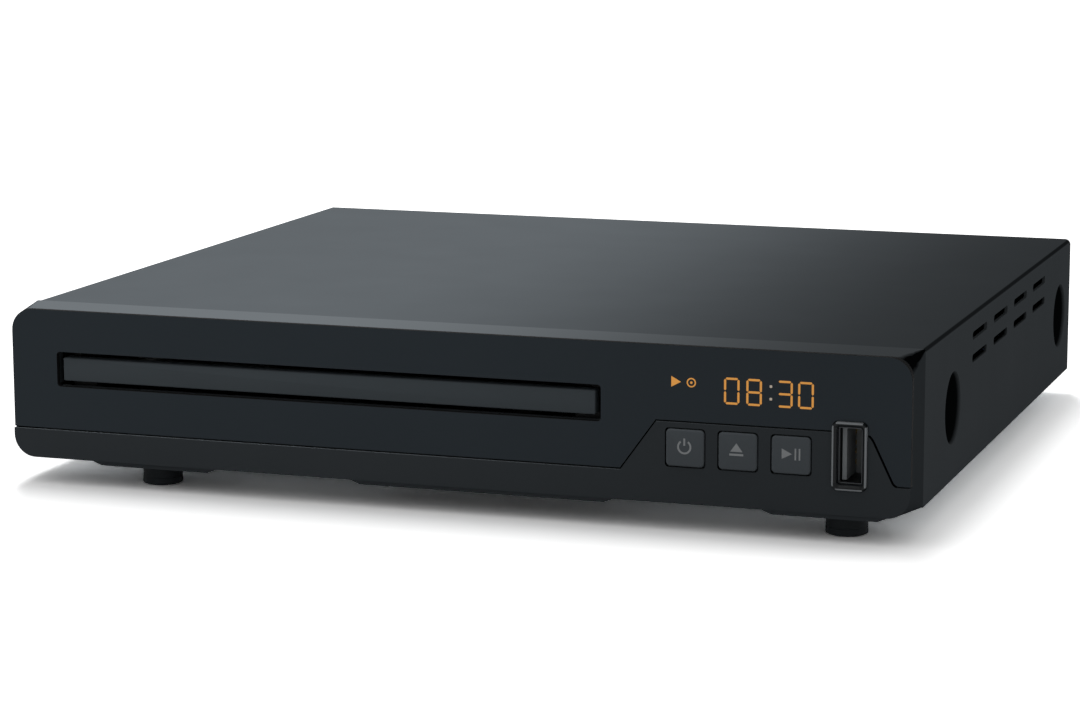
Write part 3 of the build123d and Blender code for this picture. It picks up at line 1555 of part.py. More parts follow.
front_foot_y = front_y + front_foot_inset
rear_foot_y = rear_y - rear_foot_inset
front_foot_top = base_z - swell_drop
subparts = {
    "top_cover": top_cover(),
    "front_bezel": front_bezel(),
    "display_panel": display_panel(),
    "chassis_pan": chassis_pan(),
    "rear_panel": rear_panel(),
    "front_left_foot": foot(foot_left_x, front_foot_y, front_foot_top, base_z + bezel_wall),
    "front_right_foot": foot(foot_right_x, front_foot_y, front_foot_top, base_z + bezel_wall),
    "rear_left_foot": foot(foot_left_x, rear_foot_y, base_z, pan_z + 1.5),
    "rear_right_foot": foot(foot_right_x, rear_foot_y, base_z, pan_z + 1.5),
    "cover_side_screws": cover_side_screws(),
    "rear_screws": rear_screws(),
    "power_key": key(key_places()[0]),
    "eject_key": key(key_places()[1]),
    "play_key": key(key_places()[2]),
    "key_switches": key_switches(),
    "front_board": front_board(),
    "display_module": display_module(),
    "remote_sensor": remote_sensor(),
    "usb_trim": usb_trim(),
    "usb_shell": usb_shell(),
    "usb_tongue": usb_tongue(),
    "usb_board": usb_board(),
    "loader_frame": loader_frame(),
    "disc_tray": disc_tray(),
    "tray_door": tray_door(),
    "drive_gear": drive_gear(),
    "pulley_gear": pulley_gear(),
    "motor_pulley": motor_pulley(),
    "drive_belt": drive_belt(),
    "loading_motor": loading_motor(),
    "cam_slider": cam_slider(),
    "traverse_frame": traverse_frame(),
    "guide_rods": guide_rods(),
    "spindle_motor": spindle_motor(),
    "turntable": turntable(),
    "pickup_sled": pickup_sled(),
    "lens_actuator": lens_actuator(),
    "objective_lens": lens(),
    "sled_gear": sled_gear(),
    "sled_pinion": sled_pinion(),
    "sled_motor": sled_motor(),
    "clamp_bridge": clamp_bridge(),
    "clamp_puck": clamp_puck(),
    "main_board": main_board(),
    "power_board": power_board(),
    "inner_screws": inner_screws(),
    "board_chips": board_chips(),
    "board_connectors": board_connectors(),
    "board_capacitors": board_capacitors(),
    "hdmi_socket": hdmi_socket(),
    "hdmi_tongue": hdmi_tongue(),
    "jack_block": jack_block(),
    "jack_sleeves": jack_sleeves(),
    "mains_inlet": mains_inlet(),
    "inlet_pins": inlet_pins(),
    "transformer_core": transformer_core(),
    "transformer_winding": transformer_winding(),
    "power_capacitors": power_capacitors(),
    "front_ribbon": front_ribbon(),
    "power_lead": power_lead(),
}

os.makedirs("parts", exist_ok=True)
for name, shape in subparts.items():
    if isinstance(shape, list):
        shape = Compound(children=[Solid(s.solid().wrapped) for s in shape])
    export_step(shape, f"parts/{name}.step")
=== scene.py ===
"""Looks of a compact disc player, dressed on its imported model.

Lengths in the classes are millimetres. Every finished mesh is in metres, in the model's own frame.
"""
import functools
import logging
import math
from collections.abc import Iterable, Sequence
from dataclasses import dataclass
from enum import Enum
from typing import Any

import bmesh
import bpy
from mathutils import Matrix, Vector


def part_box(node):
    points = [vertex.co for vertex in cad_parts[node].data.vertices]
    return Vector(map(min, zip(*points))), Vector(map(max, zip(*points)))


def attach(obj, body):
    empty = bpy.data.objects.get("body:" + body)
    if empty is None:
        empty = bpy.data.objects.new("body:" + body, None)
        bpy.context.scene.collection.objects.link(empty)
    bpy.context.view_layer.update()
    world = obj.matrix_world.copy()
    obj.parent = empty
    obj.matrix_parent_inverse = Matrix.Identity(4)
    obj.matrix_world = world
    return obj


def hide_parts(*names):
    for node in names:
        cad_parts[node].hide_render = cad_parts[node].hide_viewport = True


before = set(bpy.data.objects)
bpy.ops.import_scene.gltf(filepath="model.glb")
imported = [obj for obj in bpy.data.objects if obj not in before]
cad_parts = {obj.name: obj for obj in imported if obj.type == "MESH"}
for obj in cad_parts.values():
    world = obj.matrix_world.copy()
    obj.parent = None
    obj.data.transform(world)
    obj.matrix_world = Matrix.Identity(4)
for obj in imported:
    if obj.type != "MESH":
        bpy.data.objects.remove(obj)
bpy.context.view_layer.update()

MM = 0.001
MIX_SHARE, MIX_FIRST, MIX_SECOND, MIX_RESULT = 0, 6, 7, 2  # a Mix node's sockets for colours
FINE_DETAIL = 3.0  # octaves of the finer noises
ROUND = 0.5  # profile of a circular rounding
RING_STEPS = 40  # faces round a ring or an arc
NEAR = 1e-4  # points nearer than this are one, in millimetres
NODE_NEAR = 2e-3  # the same for a node's own mesh
FLAT = math.radians(0.4)  # faces that turn by less are one
SHARP = math.radians(32)  # edges that turn by more stay crisp
SINK = 0.02  # how far one form reaches into the next, in millimetres
log = logging.getLogger("disc_player")

Pair = tuple[float, float]
Triple = tuple[float, float, float]
Colour = tuple[float, float, float, float]


def linear(shade: str, light: float = 1.0) -> Colour:
    """Turns a screen colour into the linear light that shaders work in, by the sRGB curve.

    Args:
        shade: The colour as six hex digits.
        light: A factor on its brightness.

    Returns:
        Red, green, blue and alpha.
    """
    channels = [int(shade[place:place + 2], 16) / 255 for place in (0, 2, 4)]
    lit = [c / 12.92 if c <= 0.04045 else ((c + 0.055) / 1.055) ** 2.4 for c in channels]
    return (*(min(c * light, 1.0) for c in lit), 1.0)


# Shader wiring


@dataclass
class Wire:
    """One output of a node, with arithmetic that adds Math nodes."""

    tree: "Tree"
    socket: bpy.types.NodeSocket | None

    def maths(self, operation: str, *others: "Wire | float") -> "Wire":
        """Adds a Math node on this value and others, in order."""
        return self.tree.node("Math", {"operation": operation}, (self, *others))

    __add__ = functools.partialmethod(maths, "ADD")
    __sub__ = functools.partialmethod(maths, "SUBTRACT")
    __mul__ = functools.partialmethod(maths, "MULTIPLY")
    __gt__ = functools.partialmethod(maths, "GREATER_THAN")
    __lt__ = functools.partialmethod(maths, "LESS_THAN")
    __abs__ = functools.partialmethod(maths, "ABSOLUTE")

    def clipped(self) -> "Wire":
        """Keeps the value between 0 and 1."""
        return self.maths("MAXIMUM", 0.0).maths("MINIMUM", 1.0)


class Tree:
    """The node tree of a material or of the world, while it is wired."""

    def __init__(self, nodes: bpy.types.NodeTree) -> None:
        """Empties a tree and holds it."""
        nodes.nodes.clear()
        self.nodes = nodes

    def node(self, kind: str, settings: dict[str, Any] | None = None,
             inputs: dict[str | int, Any] | Sequence[Any] = (), output: str | int = 0) -> Wire:
        """Adds one node.

        Args:
            kind: The node's type, without ShaderNode.
            settings: Its properties, set before its sockets.
            inputs: Values or wires by socket name or number, or in order.
            output: The socket that is returned.

        Returns:
            The chosen output.
        """
        made = self.nodes.nodes.new(f"ShaderNode{kind}")
        for name, value in (settings or {}).items():
            setattr(made, name, value)
        named = inputs.items() if isinstance(inputs, dict) else enumerate(inputs)
        for key, value in named:
            if isinstance(value, Wire):
                self.nodes.links.new(value.socket, made.inputs[key])
            else:
                made.inputs[key].default_value = value
        return Wire(self, made.outputs[output] if len(made.outputs) else None)

    def place(self, stretch: Sequence[float] = (1.0, 1.0, 1.0)) -> Wire:
        """Gives the object coordinates, stretched along the axes where asked."""
        here = self.node("TexCoord", output="Object")
        if tuple(stretch) == (1.0, 1.0, 1.0):
            return here
        return self.node("Mapping", {}, {"Vector": here, "Scale": tuple(stretch)})

    def split(self, output: str) -> tuple[Wire, Wire, Wire]:
        """Gives X, Y and Z of the Object coordinates, or of the Normal before any bump."""
        source = self.node("TexCoord", output=output)
        outputs = self.node("SeparateXYZ", {}, {"Vector": source}).socket.node.outputs
        return tuple(Wire(self, outputs[place]) for place in range(3))

    def noise(self, size: float, detail: float = 2.0,
              stretch: Sequence[float] = (1.0, 1.0, 1.0)) -> Wire:
        """Adds soft noise, with features of a size in millimetres and octaves of detail."""
        return self.node("TexNoise", {}, {
            "Vector": self.place(stretch), "Scale": 1 / (size * MM), "Detail": detail})

    def cells(self, size: float, scatter: float = 1.0, output: str = "Distance",
              distance: str = "EUCLIDEAN") -> Wire:
        """Adds cells of a size in millimetres, in a grid that scatter makes uneven."""
        return self.node("TexVoronoi", {"distance": distance}, {
            "Vector": self.place(), "Scale": 1 / (size * MM), "Randomness": scatter}, output)

    def mix(self, share: Wire | float, first: Wire | Colour, second: Wire | Colour) -> Wire:
        """Mixes two colours by a share from 0 to 1."""
        sockets = {MIX_SHARE: share, MIX_FIRST: first, MIX_SECOND: second}
        return self.node("Mix", {"data_type": "RGBA"}, sockets, MIX_RESULT)

    def seen(self) -> Wire:
        """Gives 1 for what the camera, gloss or glass sees."""
        path = self.node("LightPath", output="Is Camera Ray")
        seen = path
        for name in ("Is Glossy Ray", "Is Transmission Ray"):
            seen = seen + Wire(self, path.socket.node.outputs[name])
        return seen.clipped()

    def bump(self, height: Wire, depth: float) -> Wire:
        """Turns a height from 0 to 1 into a bent normal, for a depth in millimetres."""
        return self.node("Bump", {}, {"Height": height, "Distance": depth * MM})


# Finishes


@dataclass(frozen=True)
class Finish:
    """Moulded or sprayed stuff with a fine grain."""

    name: str  # the material's name
    colour: str  # six hex digits
    roughness: float = 0.5  # from 0, polished, to 1
    specular: float = 0.4  # the shader's specular level
    metallic: float = 0.0  # 1 for bare metal
    coat: float = 0.0  # weight of a clear coat
    grain: float = 0.3  # size of the grain, in millimetres
    depth: float = 0.01  # depth of the grain, in millimetres
    tone: float = 0.08  # how far the colour drifts
    patch: float = 22.0  # size of the drift, in millimetres
    handling: float = 0.6  # size of the roughness's drift, as a share of the colour's
    wear: float = 0.1  # how far the roughness drifts
    along: int | None = None  # the axis that brushed lines follow, 0 to 2
    drawn: float = 0.03  # factor on the grain along that axis, small to draw it out
    power: float = 0.0  # strength of its light, if it is lit
    uneven: float = 1.5  # size of the light's drift, in millimetres

    def toned(self, tree: Tree, share: Wire) -> Wire:
        """Gives the colour, from darker to lighter by a share from 0 to 1."""
        low, high = linear(self.colour, 1 - self.tone), linear(self.colour, 1 + self.tone)
        return tree.mix(share, low, high)

    def worn(self, share: Wire) -> Wire:
        """Gives the roughness, from lower to higher by a share from 0 to 1."""
        return share * self.wear + (self.roughness - self.wear / 2)

    def colour_of(self, tree: Tree) -> Wire:
        """Gives the colour, which drifts a little over the surface."""
        return self.toned(tree, tree.noise(self.patch))

    def roughness_of(self, tree: Tree) -> Wire:
        """Gives the roughness, which drifts with handling."""
        return self.worn(tree.noise(self.patch * self.handling, FINE_DETAIL))

    def height_of(self, tree: Tree) -> Wire:
        """Gives the grain's height, drawn out into lines where it is brushed."""
        stretch = [self.drawn if axis == self.along else 1.0 for axis in range(3)]
        return tree.noise(self.grain, FINE_DETAIL, stretch)

    def shader(self, tree: Tree) -> Wire:
        """Wires the surface's shader."""
        sockets = {
            "Base Color": self.colour_of(tree),
            "Roughness": self.roughness_of(tree),
            "Metallic": self.metallic,
            "Specular IOR Level": self.specular,
            "Coat Weight": self.coat,
            "Normal": tree.bump(self.height_of(tree), self.depth),
        }
        if self.power:
            sockets["Emission Color"] = self.toned(tree, tree.noise(self.uneven))
            sockets["Emission Strength"] = self.power
        return tree.node("BsdfPrincipled", {}, sockets)

    @functools.cache
    def material(self) -> bpy.types.Material:
        """Makes the material once and gives it."""
        made = bpy.data.materials.new(self.name)
        made.use_nodes = True
        tree = Tree(made.node_tree)
        tree.node("OutputMaterial", {}, {"Surface": self.shader(tree)})
        return made


@dataclass(frozen=True)
class Spangled(Finish):
    """Zinc-plated sheet, whose crystals shine a little differently from each other."""

    wear: float = 0.16
    crystal: float = 6.0  # size of the crystals, in millimetres

    def _crystals(self, tree: Tree) -> Wire:
        """Gives each crystal its own value."""
        cells = tree.cells(self.crystal, output="Color")
        return tree.node("SeparateColor", {}, {"Color": cells})

    def colour_of(self, tree: Tree) -> Wire:
        """Gives the colour, crystal by crystal."""
        return self.toned(tree, self._crystals(tree))

    def roughness_of(self, tree: Tree) -> Wire:
        """Gives the roughness, crystal by crystal."""
        return self.worn(self._crystals(tree))


@dataclass(frozen=True)
class Smoked(Finish):
    """Smoked plate: a glossy face over dark, matt cut edges."""

    edge: str = "08090a"  # the cut edges' colour
    edge_roughness: float = 0.9  # the cut edges' roughness
    square: float = 0.95  # a face is an edge where it turns to the front or back by less than this

    def _cut(self, tree: Tree) -> Wire:
        """Gives 1 on the edges, which don't face the front or the back."""
        return abs(tree.split("Normal")[1]) < self.square

    def colour_of(self, tree: Tree) -> Wire:
        """Gives the face's colour, and the dark of the cut edges."""
        return tree.mix(self._cut(tree), super().colour_of(tree), linear(self.edge))

    def roughness_of(self, tree: Tree) -> Wire:
        """Gives a glossy face and matt edges."""
        return super().roughness_of(tree) + self._cut(tree) * (self.edge_roughness - self.roughness)


@dataclass(frozen=True)
class Sprayed(Finish):
    """Sprayed sheet, with painted shade along the folds and down in the pressed dishes."""

    shade: str = "0b0d0e"  # the painted shade's colour
    fold: float = 154.75  # where the painted shade on a fold starts: across plus height, in millimetres
    fold_rise: float = 8.0  # how fast the painted shade grows, to a millimetre
    fold_painted_shade: float = 0.8  # how dark the painted shade gets, from 0 to 1
    dish: Pair = (107.0, 112.48)  # the dishes' floor and rim, across, in millimetres
    dish_top: float = 34.0  # height that the dishes stay below, in millimetres
    dish_rise: float = -1.2  # how the painted shade in them changes outwards, to a millimetre

    def colour_of(self, tree: Tree) -> Wire:
        """Gives the paint, with painted shade on the folds and in the dishes."""
        x, _, z = tree.split("Object")
        across, height = abs(x) * (1 / MM), z * (1 / MM)
        # painted shade along the folds
        fold_shading = ((across + height - self.fold) * self.fold_rise).clipped() * self.fold_painted_shade
        floor, rim = self.dish
        # painted shade down in the pressed dishes, below their top
        dish_shading = ((across - rim) * self.dish_rise).clipped() * (across > floor)
        dark = (fold_shading + dish_shading * (height < self.dish_top)).clipped()
        return tree.mix(dark, super().colour_of(tree), linear(self.shade))


@dataclass(frozen=True)
class Cornered(Finish):
    """Moulding with painted light on its top, and painted shade on its sides and in its slanted
    corners.
    """

    top: str = "515558"  # the top's colour, with painted light
    level: float = 0.7  # a face is the top where it turns up by more than this
    side: float = 0.15  # how much painted shade darkens the sides, from 0 to 1
    shade: str = "060708"  # the colour of the painted shade on the corners and sides
    rise: float = 4.0  # how fast the painted shade on corners and sides grows as a face turns
    corner_shade_start: float = 0.6  # how much of the corners' painted shade is held back
    side_shade_start: float = 2.0  # how much of the sides' painted shade is held back

    def colour_of(self, tree: Tree) -> Wire:
        """Gives the moulding, with painted light on its top and painted shade on its sides and
        corners.
        """
        across, _, up = tree.split("Normal")
        # painted shade on the slanted corners
        corner_shading = (abs(across) * up * self.rise - self.corner_shade_start).clipped()
        # painted shade on the sides
        turned = (abs(across) * self.rise - self.side_shade_start).clipped() * self.side
        # painted light on the top faces
        faces = tree.mix(up > self.level, super().colour_of(tree), linear(self.top))
        return tree.mix((corner_shading + turned).clipped(), faces, linear(self.shade))


@dataclass(frozen=True)
class Lined(Finish):
    """Dark gloss frame with painted highlights as bright lines along its four outer edges."""

    line: str = "85898c"  # the painted highlights' colour
    middle: Pair = (98.45, 20.25)  # the frame's middle, across and up, in millimetres
    reach: Pair = (3.6, 7.45)  # from there to the painted highlights, in millimetres
    corner: float = 0.5  # how far before the next highlight's start each painted highlight ends, in millimetres

    def _on_highlight(self, tree: Tree) -> Wire:
        """Gives 1 on a painted highlight."""
        x, _, z = tree.split("Object")
        across, up = (abs(place * (1 / MM) - middle) for place, middle in zip((x, z), self.middle))
        wide, high = self.reach
        sides = (across > wide) * (up < high - self.corner)
        ends = (up > high) * (across < wide - self.corner)
        return (sides + ends).clipped()

    def colour_of(self, tree: Tree) -> Wire:
        """Gives the dark frame and its painted highlights."""
        # painted highlights along the outer edges
        return tree.mix(self._on_highlight(tree), super().colour_of(tree), linear(self.line))


@dataclass(frozen=True)
class Board(Finish):
    """Circuit board: lacquer over copper tracks, with tinned pads."""

    copper: str = "2c6a4a"  # the tracks' colour under the lacquer
    tin: str = "b9bcbd"  # the pads' colour
    track_cell: float = 7.62  # size of the patches of tracks, in millimetres
    track_scatter: float = 0.8  # how unevenly the patches lie
    tracks: float = 9.0  # how many tracks run round a patch
    track_gap: float = 0.6  # the gap's share of a track and its gap
    pad_cell: float = 5.08  # distance from pad to pad, in millimetres
    pad_scatter: float = 0.35  # how unevenly the pads lie
    pad_size: float = 0.13  # the pads' radius, as a share of that distance

    def height_of(self, tree: Tree) -> Wire:
        """Gives 1 on a track, which stands up under the lacquer."""
        cells = tree.cells(self.track_cell, self.track_scatter, distance="CHEBYCHEV")
        return (cells * self.tracks).maths("FRACT") > self.track_gap

    def colour_of(self, tree: Tree) -> Wire:
        """Gives lacquer, tracks and pads."""
        tracked = tree.mix(self.height_of(tree), super().colour_of(tree), linear(self.copper))
        pads = tree.cells(self.pad_cell, self.pad_scatter) < self.pad_size
        return tree.mix(pads, tracked, linear(self.tin))


@dataclass(frozen=True)
class Striped(Finish):
    """Stuff with stripes across one axis: a flat cable's wires, or wound tape."""

    groove: str = "3c3f42"  # the colour between the stripes
    axis: int = 0  # the axis that crosses the stripes, 0 to 2
    pitch: float = 1.0  # distance from stripe to stripe, in millimetres
    low: float = 0.2  # height that a stripe starts at, from 0 to 1

    def height_of(self, tree: Tree) -> Wire:
        """Gives the stripes' rounded height, 1 on a stripe and 0 between two."""
        turns = tree.split("Object")[self.axis] * (math.tau / (self.pitch * MM))
        return turns.maths("SINE") * 0.5 + 0.5

    def colour_of(self, tree: Tree) -> Wire:
        """Gives the stripes and the dark between them."""
        striped = self.height_of(tree) > self.low
        return tree.mix(striped, linear(self.groove), super().colour_of(tree))


@dataclass(frozen=True)
class Ground(Finish):
    """Pale floor, which looks white to the eye and keeps the shadow."""

    bright: float = 2.0  # how light it looks, before the shadow

    def shader(self, tree: Tree) -> Wire:
        """Wires a matt surface that looks brighter than it lights the player."""
        shown = tree.mix(tree.seen(), self.colour_of(tree), (*(self.bright,) * 3, 1.0))
        return tree.node("BsdfDiffuse", {}, {"Color": shown})


class Slot(Enum):
    """The record's material slots, each with its name there and its finish."""

    CASE_PAINT = "case_paint", Sprayed("cover paint", "464a4d", 0.6, 0.0, depth=0.02, tone=0.05)
    BEZEL = "bezel_plastic", Cornered("bezel moulding", "3a3e41", 0.6, 0.0, grain=0.25, tone=0.05)
    PANEL = "smoked_panel", Smoked("smoked plate", "222a30", 0.25, 0.09, grain=8.0, depth=0.004,
        tone=0.04)
    KEY = "key_plastic", Finish("key moulding", "4f5458", 0.5, 0.05, grain=0.2, depth=0.006,
        tone=0.05)
    # the trim's bright edge lines are painted highlights
    TRIM = "trim_gloss", Lined("gloss moulding", "15181a", 0.3, 0.12, grain=3.0, depth=0.004)
    ZINC = "zinc_steel", Spangled("zinc sheet", "a9acae", 0.38, 0.5, 1.0, grain=1.2, depth=0.006)
    REAR_PAINT = "rear_paint", Finish("rear paint", "303336", 0.55, 0.3, grain=0.35, depth=0.02)
    FOOT = "foot_rubber", Finish("foot rubber", "202427", 0.75, 0.2, grain=0.5, depth=0.02,
        tone=0.12)
    BLACK_SCREW = "black_screw", Finish("blackened steel", "26282a", 0.38, 0.5, 0.6)
    BRIGHT_SCREW = "bright_screw", Finish("plated screw", "b4b5b4", 0.3, 0.5, 1.0, depth=0.006)
    SOCKET = "socket_metal", Finish("nickel plate", "bcbdbe", 0.2, 0.5, 1.0, grain=0.15,
        depth=0.002, along=1)
    INSERT = "socket_insert", Finish("socket tongue", "1c1e20", depth=0.008)
    INLET = "inlet_plastic", Finish("inlet moulding", "1d1f20", 0.45)
    BOARD = "circuit_board", Board("circuit board", "1d5a3c", 0.35, 0.5, depth=0.03, tone=0.06)
    CHIP = "chip_black", Finish("chip package", "202224", 0.6, 0.35, grain=0.15)
    CONNECTOR = "connector_white", Finish("plug housing", "d9d6c9", 0.5, 0.45, grain=0.4,
        depth=0.008, tone=0.04)
    SLEEVE = "capacitor_sleeve", Finish("capacitor sleeve", "20263a", 0.3, 0.5, grain=2.0, tone=0.1)
    TAPE = "winding_tape", Striped("winding tape", "b98a2e", 0.4, 0.45, depth=0.05,
        groove="8a6420", axis=2, pitch=3.0)
    RIBBON = "ribbon_grey", Striped("flat cable", "a3a6a8", 0.45, depth=0.08, groove="6f7274")
    LEAD = "lead_red", Finish("lead sleeve", "9e2420", grain=0.6)
    DISPLAY = "display_block", Finish("display block", "17191b", grain=0.5, depth=0.006)
    SENSOR = "sensor_black", Finish("receiver window", "14090c", 0.2, 0.5, grain=2.0, depth=0.004)
    LOADER = "loader_plastic", Finish("loader moulding", "0e0f10", 0.55, 0.2, grain=0.4,
        depth=0.015)
    TRAY = "tray_plastic", Finish("tray moulding", "25282a", 0.45, grain=0.25, depth=0.015,
        tone=0.05)
    GEAR = "gear_plastic", Finish("gear moulding", "2b2e30", 0.45, grain=0.4, depth=0.008,
        tone=0.03)
    BELT = "belt_rubber", Finish("belt rubber", "151515", 0.7, 0.3)
    MOTOR = "motor_steel", Finish("motor can", "a7a9ab", 0.3, 0.5, 1.0, depth=0.004, along=2)
    ROD = "rod_steel", Finish("ground rod", "c3c5c7", 0.16, 0.5, 1.0, grain=0.2, depth=0.002,
        along=1)
    LENS = "lens_glass", Finish("lens glass", "3a4f70", 0.06, 0.8, coat=1.0, grain=2.0, depth=0.001)
    TURNTABLE = "turntable_plastic", Finish("turntable moulding", "1f2123", 0.4)

    def __new__(cls, name: str, finish: Finish) -> "Slot":
        """Makes a slot whose value is the record's name for it."""
        made = object.__new__(cls)
        made._value_ = name
        made.finish = finish
        return made


DOOR_SATIN = Finish("door moulding", "444a4e", 0.5, 0.05, grain=0.2, depth=0.006, tone=0.04)
ICON_INK = Finish("key print", "8b8e90", 0.5, 0.3, grain=0.2, depth=0.004, tone=0.06, patch=1.5)
SEGMENT_LIGHT = Finish("lit segment", "c98c45", 0.5, 0.1, grain=0.4, depth=0.002, tone=0.1,
                     power=0.58)
COLON_LIGHT = Finish("lit colon", "968c80", 0.5, 0.1, grain=0.4, depth=0.002, tone=0.06, power=0.8)
# the shell's nickel is darkened, as painted shade for the inside of the socket
SHADED_SHELL_NICKEL = Finish("shaded socket shell", "3a3c3e", 0.45, 0.5, 1.0, grain=0.15, depth=0.002, along=1)
TONGUE_GREY = Finish("contact carrier", "8d9193", 0.5, 0.1, depth=0.006, tone=0.04)
GASKET = Finish("plate gasket", "050607", 0.9, 0.0)
GOLD = Finish("gold contact", "d9b25a", 0.25, 0.5, 1.0, depth=0.004)


# Shaping


class Form:
    """A mesh while it is shaped with mesh operators, in millimetres."""

    def __init__(self) -> None:
        """Starts an empty mesh."""
        self.mesh = bmesh.new()

    @classmethod
    def plate(cls, width: float, height: float, corner: float = 0.0, steps: int = 6) -> "Form":
        """Makes a flat plate round the origin, on the ground plane.

        Args:
            width: Its size along X.
            height: Its size along Y.
            corner: Radius of its corners.
            steps: Faces round each corner.

        Returns:
            The plate.
        """
        form = cls()
        bmesh.ops.create_grid(form.mesh, x_segments=1, y_segments=1, size=0.5)
        bmesh.ops.scale(form.mesh, vec=(width, height, 1), verts=form.mesh.verts)
        if corner > 0:
            bmesh.ops.bevel(form.mesh, geom=form.mesh.verts[:], offset=corner, segments=steps,
                            profile=ROUND, affect="VERTICES", material=-1)
        return form

    @classmethod
    def disc(cls, radius: float, steps: int = 32) -> "Form":
        """Makes a flat disc, or with few steps a polygon, whose first corner points along Y."""
        form = cls()
        bmesh.ops.create_circle(form.mesh, cap_ends=True, segments=steps, radius=radius)
        return form

    @classmethod
    def triangle(cls, side: float, height: float, turn: float = 0.0) -> "Form":
        """Makes a flat triangle round its centre, whose tip points along Y before a turn."""
        form = cls.disc(1.0, 3)
        size = side / math.sqrt(3), height / 1.5, 1
        bmesh.ops.scale(form.mesh, vec=size, verts=form.mesh.verts)
        return form.placed(Matrix.Rotation(turn, 4, "Z"))

    @classmethod
    def turned(cls, profile: Sequence[Pair], steps: int) -> "Form":
        """Turns a profile round the Z axis.

        Args:
            profile: Radius and height of each point, from one pole to the other.
            steps: Faces round the turn.

        Returns:
            The turned solid.
        """
        form = cls()
        points = [form.mesh.verts.new((radius, 0, height)) for radius, height in profile]
        line = [form.mesh.edges.new(pair) for pair in zip(points, points[1:])]
        bmesh.ops.spin(form.mesh, geom=points + line, cent=(0, 0, 0), axis=(0, 0, 1),
                       angle=math.tau, steps=steps, use_merge=True, use_duplicate=False)
        bmesh.ops.remove_doubles(form.mesh, verts=form.mesh.verts, dist=NEAR)
        return form

    @classmethod
    def ring(cls, inner: float, outer: float, turn: float = math.tau) -> "Form":
        """Makes a flat ring, or an arc of one.

        Args:
            inner: Inner radius.
            outer: Outer radius.
            turn: How far round it goes, in radians.

        Returns:
            The ring, which starts half its turn to the right of the Y axis.
        """
        form = cls()
        start = Matrix.Rotation(math.pi / 2 - turn / 2, 4, "Z")
        ends = [form.mesh.verts.new(start @ Vector((radius, 0, 0))) for radius in (inner, outer)]
        line = form.mesh.edges.new(ends)
        bmesh.ops.spin(form.mesh, geom=[*ends, line], cent=(0, 0, 0), axis=(0, 0, 1), angle=turn,
                       steps=RING_STEPS, use_merge=turn == math.tau, use_duplicate=False)
        return form

    @classmethod
    def of_node(cls, node: str) -> "Form":
        """Starts from a merged copy of one of the model's nodes."""
        form = cls()
        form.mesh.from_mesh(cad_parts[node].data)
        bmesh.ops.scale(form.mesh, vec=(1 / MM,) * 3, verts=form.mesh.verts)
        bmesh.ops.remove_doubles(form.mesh, verts=form.mesh.verts, dist=NODE_NEAR)
        bmesh.ops.dissolve_limit(form.mesh, angle_limit=FLAT, verts=form.mesh.verts,
                                 edges=form.mesh.edges)
        return form

    def thicken(self, height: float) -> "Form":
        """Raises a flat shape along Z into a closed solid."""
        raised = bmesh.ops.extrude_face_region(self.mesh, geom=self.mesh.faces[:])["geom"]
        corners = [item for item in raised if isinstance(item, bmesh.types.BMVert)]
        bmesh.ops.translate(self.mesh, vec=(0, 0, height), verts=corners)
        bmesh.ops.recalc_face_normals(self.mesh, faces=self.mesh.faces)
        return self

    def soften_top(self, radius: float, steps: int = 3) -> "Form":
        """Rounds the rim of the highest face.

        Args:
            radius: The rounding's size.
            steps: Faces across the rounding.

        Returns:
            This form.
        """
        top = max(vert.co.z for vert in self.mesh.verts)
        rim = [edge for edge in self.mesh.edges
               if all(abs(vert.co.z - top) < NEAR for vert in edge.verts)]
        bmesh.ops.bevel(self.mesh, geom=rim, offset=radius, segments=steps, profile=ROUND,
                        affect="EDGES", clamp_overlap=True, material=-1)
        return self

    def placed(self, matrix: Matrix) -> "Form":
        """Moves the form."""
        bmesh.ops.transform(self.mesh, matrix=matrix, verts=self.mesh.verts)
        return self

    def moved(self, x: float = 0.0, y: float = 0.0, z: float = 0.0) -> "Form":
        """Slides the form."""
        return self.placed(Matrix.Translation((x, y, z)))

    def joined(self, others: Iterable["Form"]) -> "Form":
        """Takes in other forms, which are used up."""
        for other in others:
            data = bpy.data.meshes.new("joined")
            other.mesh.to_mesh(data)
            other.mesh.free()
            self.mesh.from_mesh(data)
            bpy.data.meshes.remove(data)
        return self

    def object(self, name: str, finish: Finish) -> bpy.types.Object:
        """Makes the form a finished object, with its place in its mesh.

        Args:
            name: The object's name.
            finish: What it is made of.

        Returns:
            The object.
        """
        bmesh.ops.scale(self.mesh, vec=(MM,) * 3, verts=self.mesh.verts)
        data = bpy.data.meshes.new(name)
        self.mesh.to_mesh(data)
        self.mesh.free()
        data.shade_smooth()
        data.set_sharp_from_angle(angle=SHARP)
        data.materials.append(finish.material())
        made = bpy.data.objects.new(name, data)
        bpy.context.scene.collection.objects.link(made)
        return made


def upright(x: float, y: float, z: float) -> Matrix:
    """Stands a flat form up to face the front, with its middle at x and z and its back at y."""
    return Matrix.Translation((x, y, z)) @ Matrix.Rotation(math.pi / 2, 4, "X")


def solid_boxes(node: str) -> list[tuple[Vector, Vector]]:
    """Finds each separate solid of a node.

    Args:
        node: The node's name.

    Returns:
        The lowest and highest corner of each, in millimetres, from left to right.
    """
    form = Form.of_node(node)
    waiting, boxes = set(form.mesh.verts), []
    while waiting:
        found, reach = set(), [waiting.pop()]
        while reach:
            vert = reach.pop()
            found.add(vert)
            near = {edge.other_vert(vert) for edge in vert.link_edges} - found
            reach.extend(near)
            found |= near
        waiting -= found
        places = [vert.co for vert in found]
        boxes.append((Vector(map(min, zip(*places))), Vector(map(max, zip(*places)))))
    form.mesh.free()
    return sorted(boxes, key=lambda box: (round(box[0].x), round(box[0].z)))


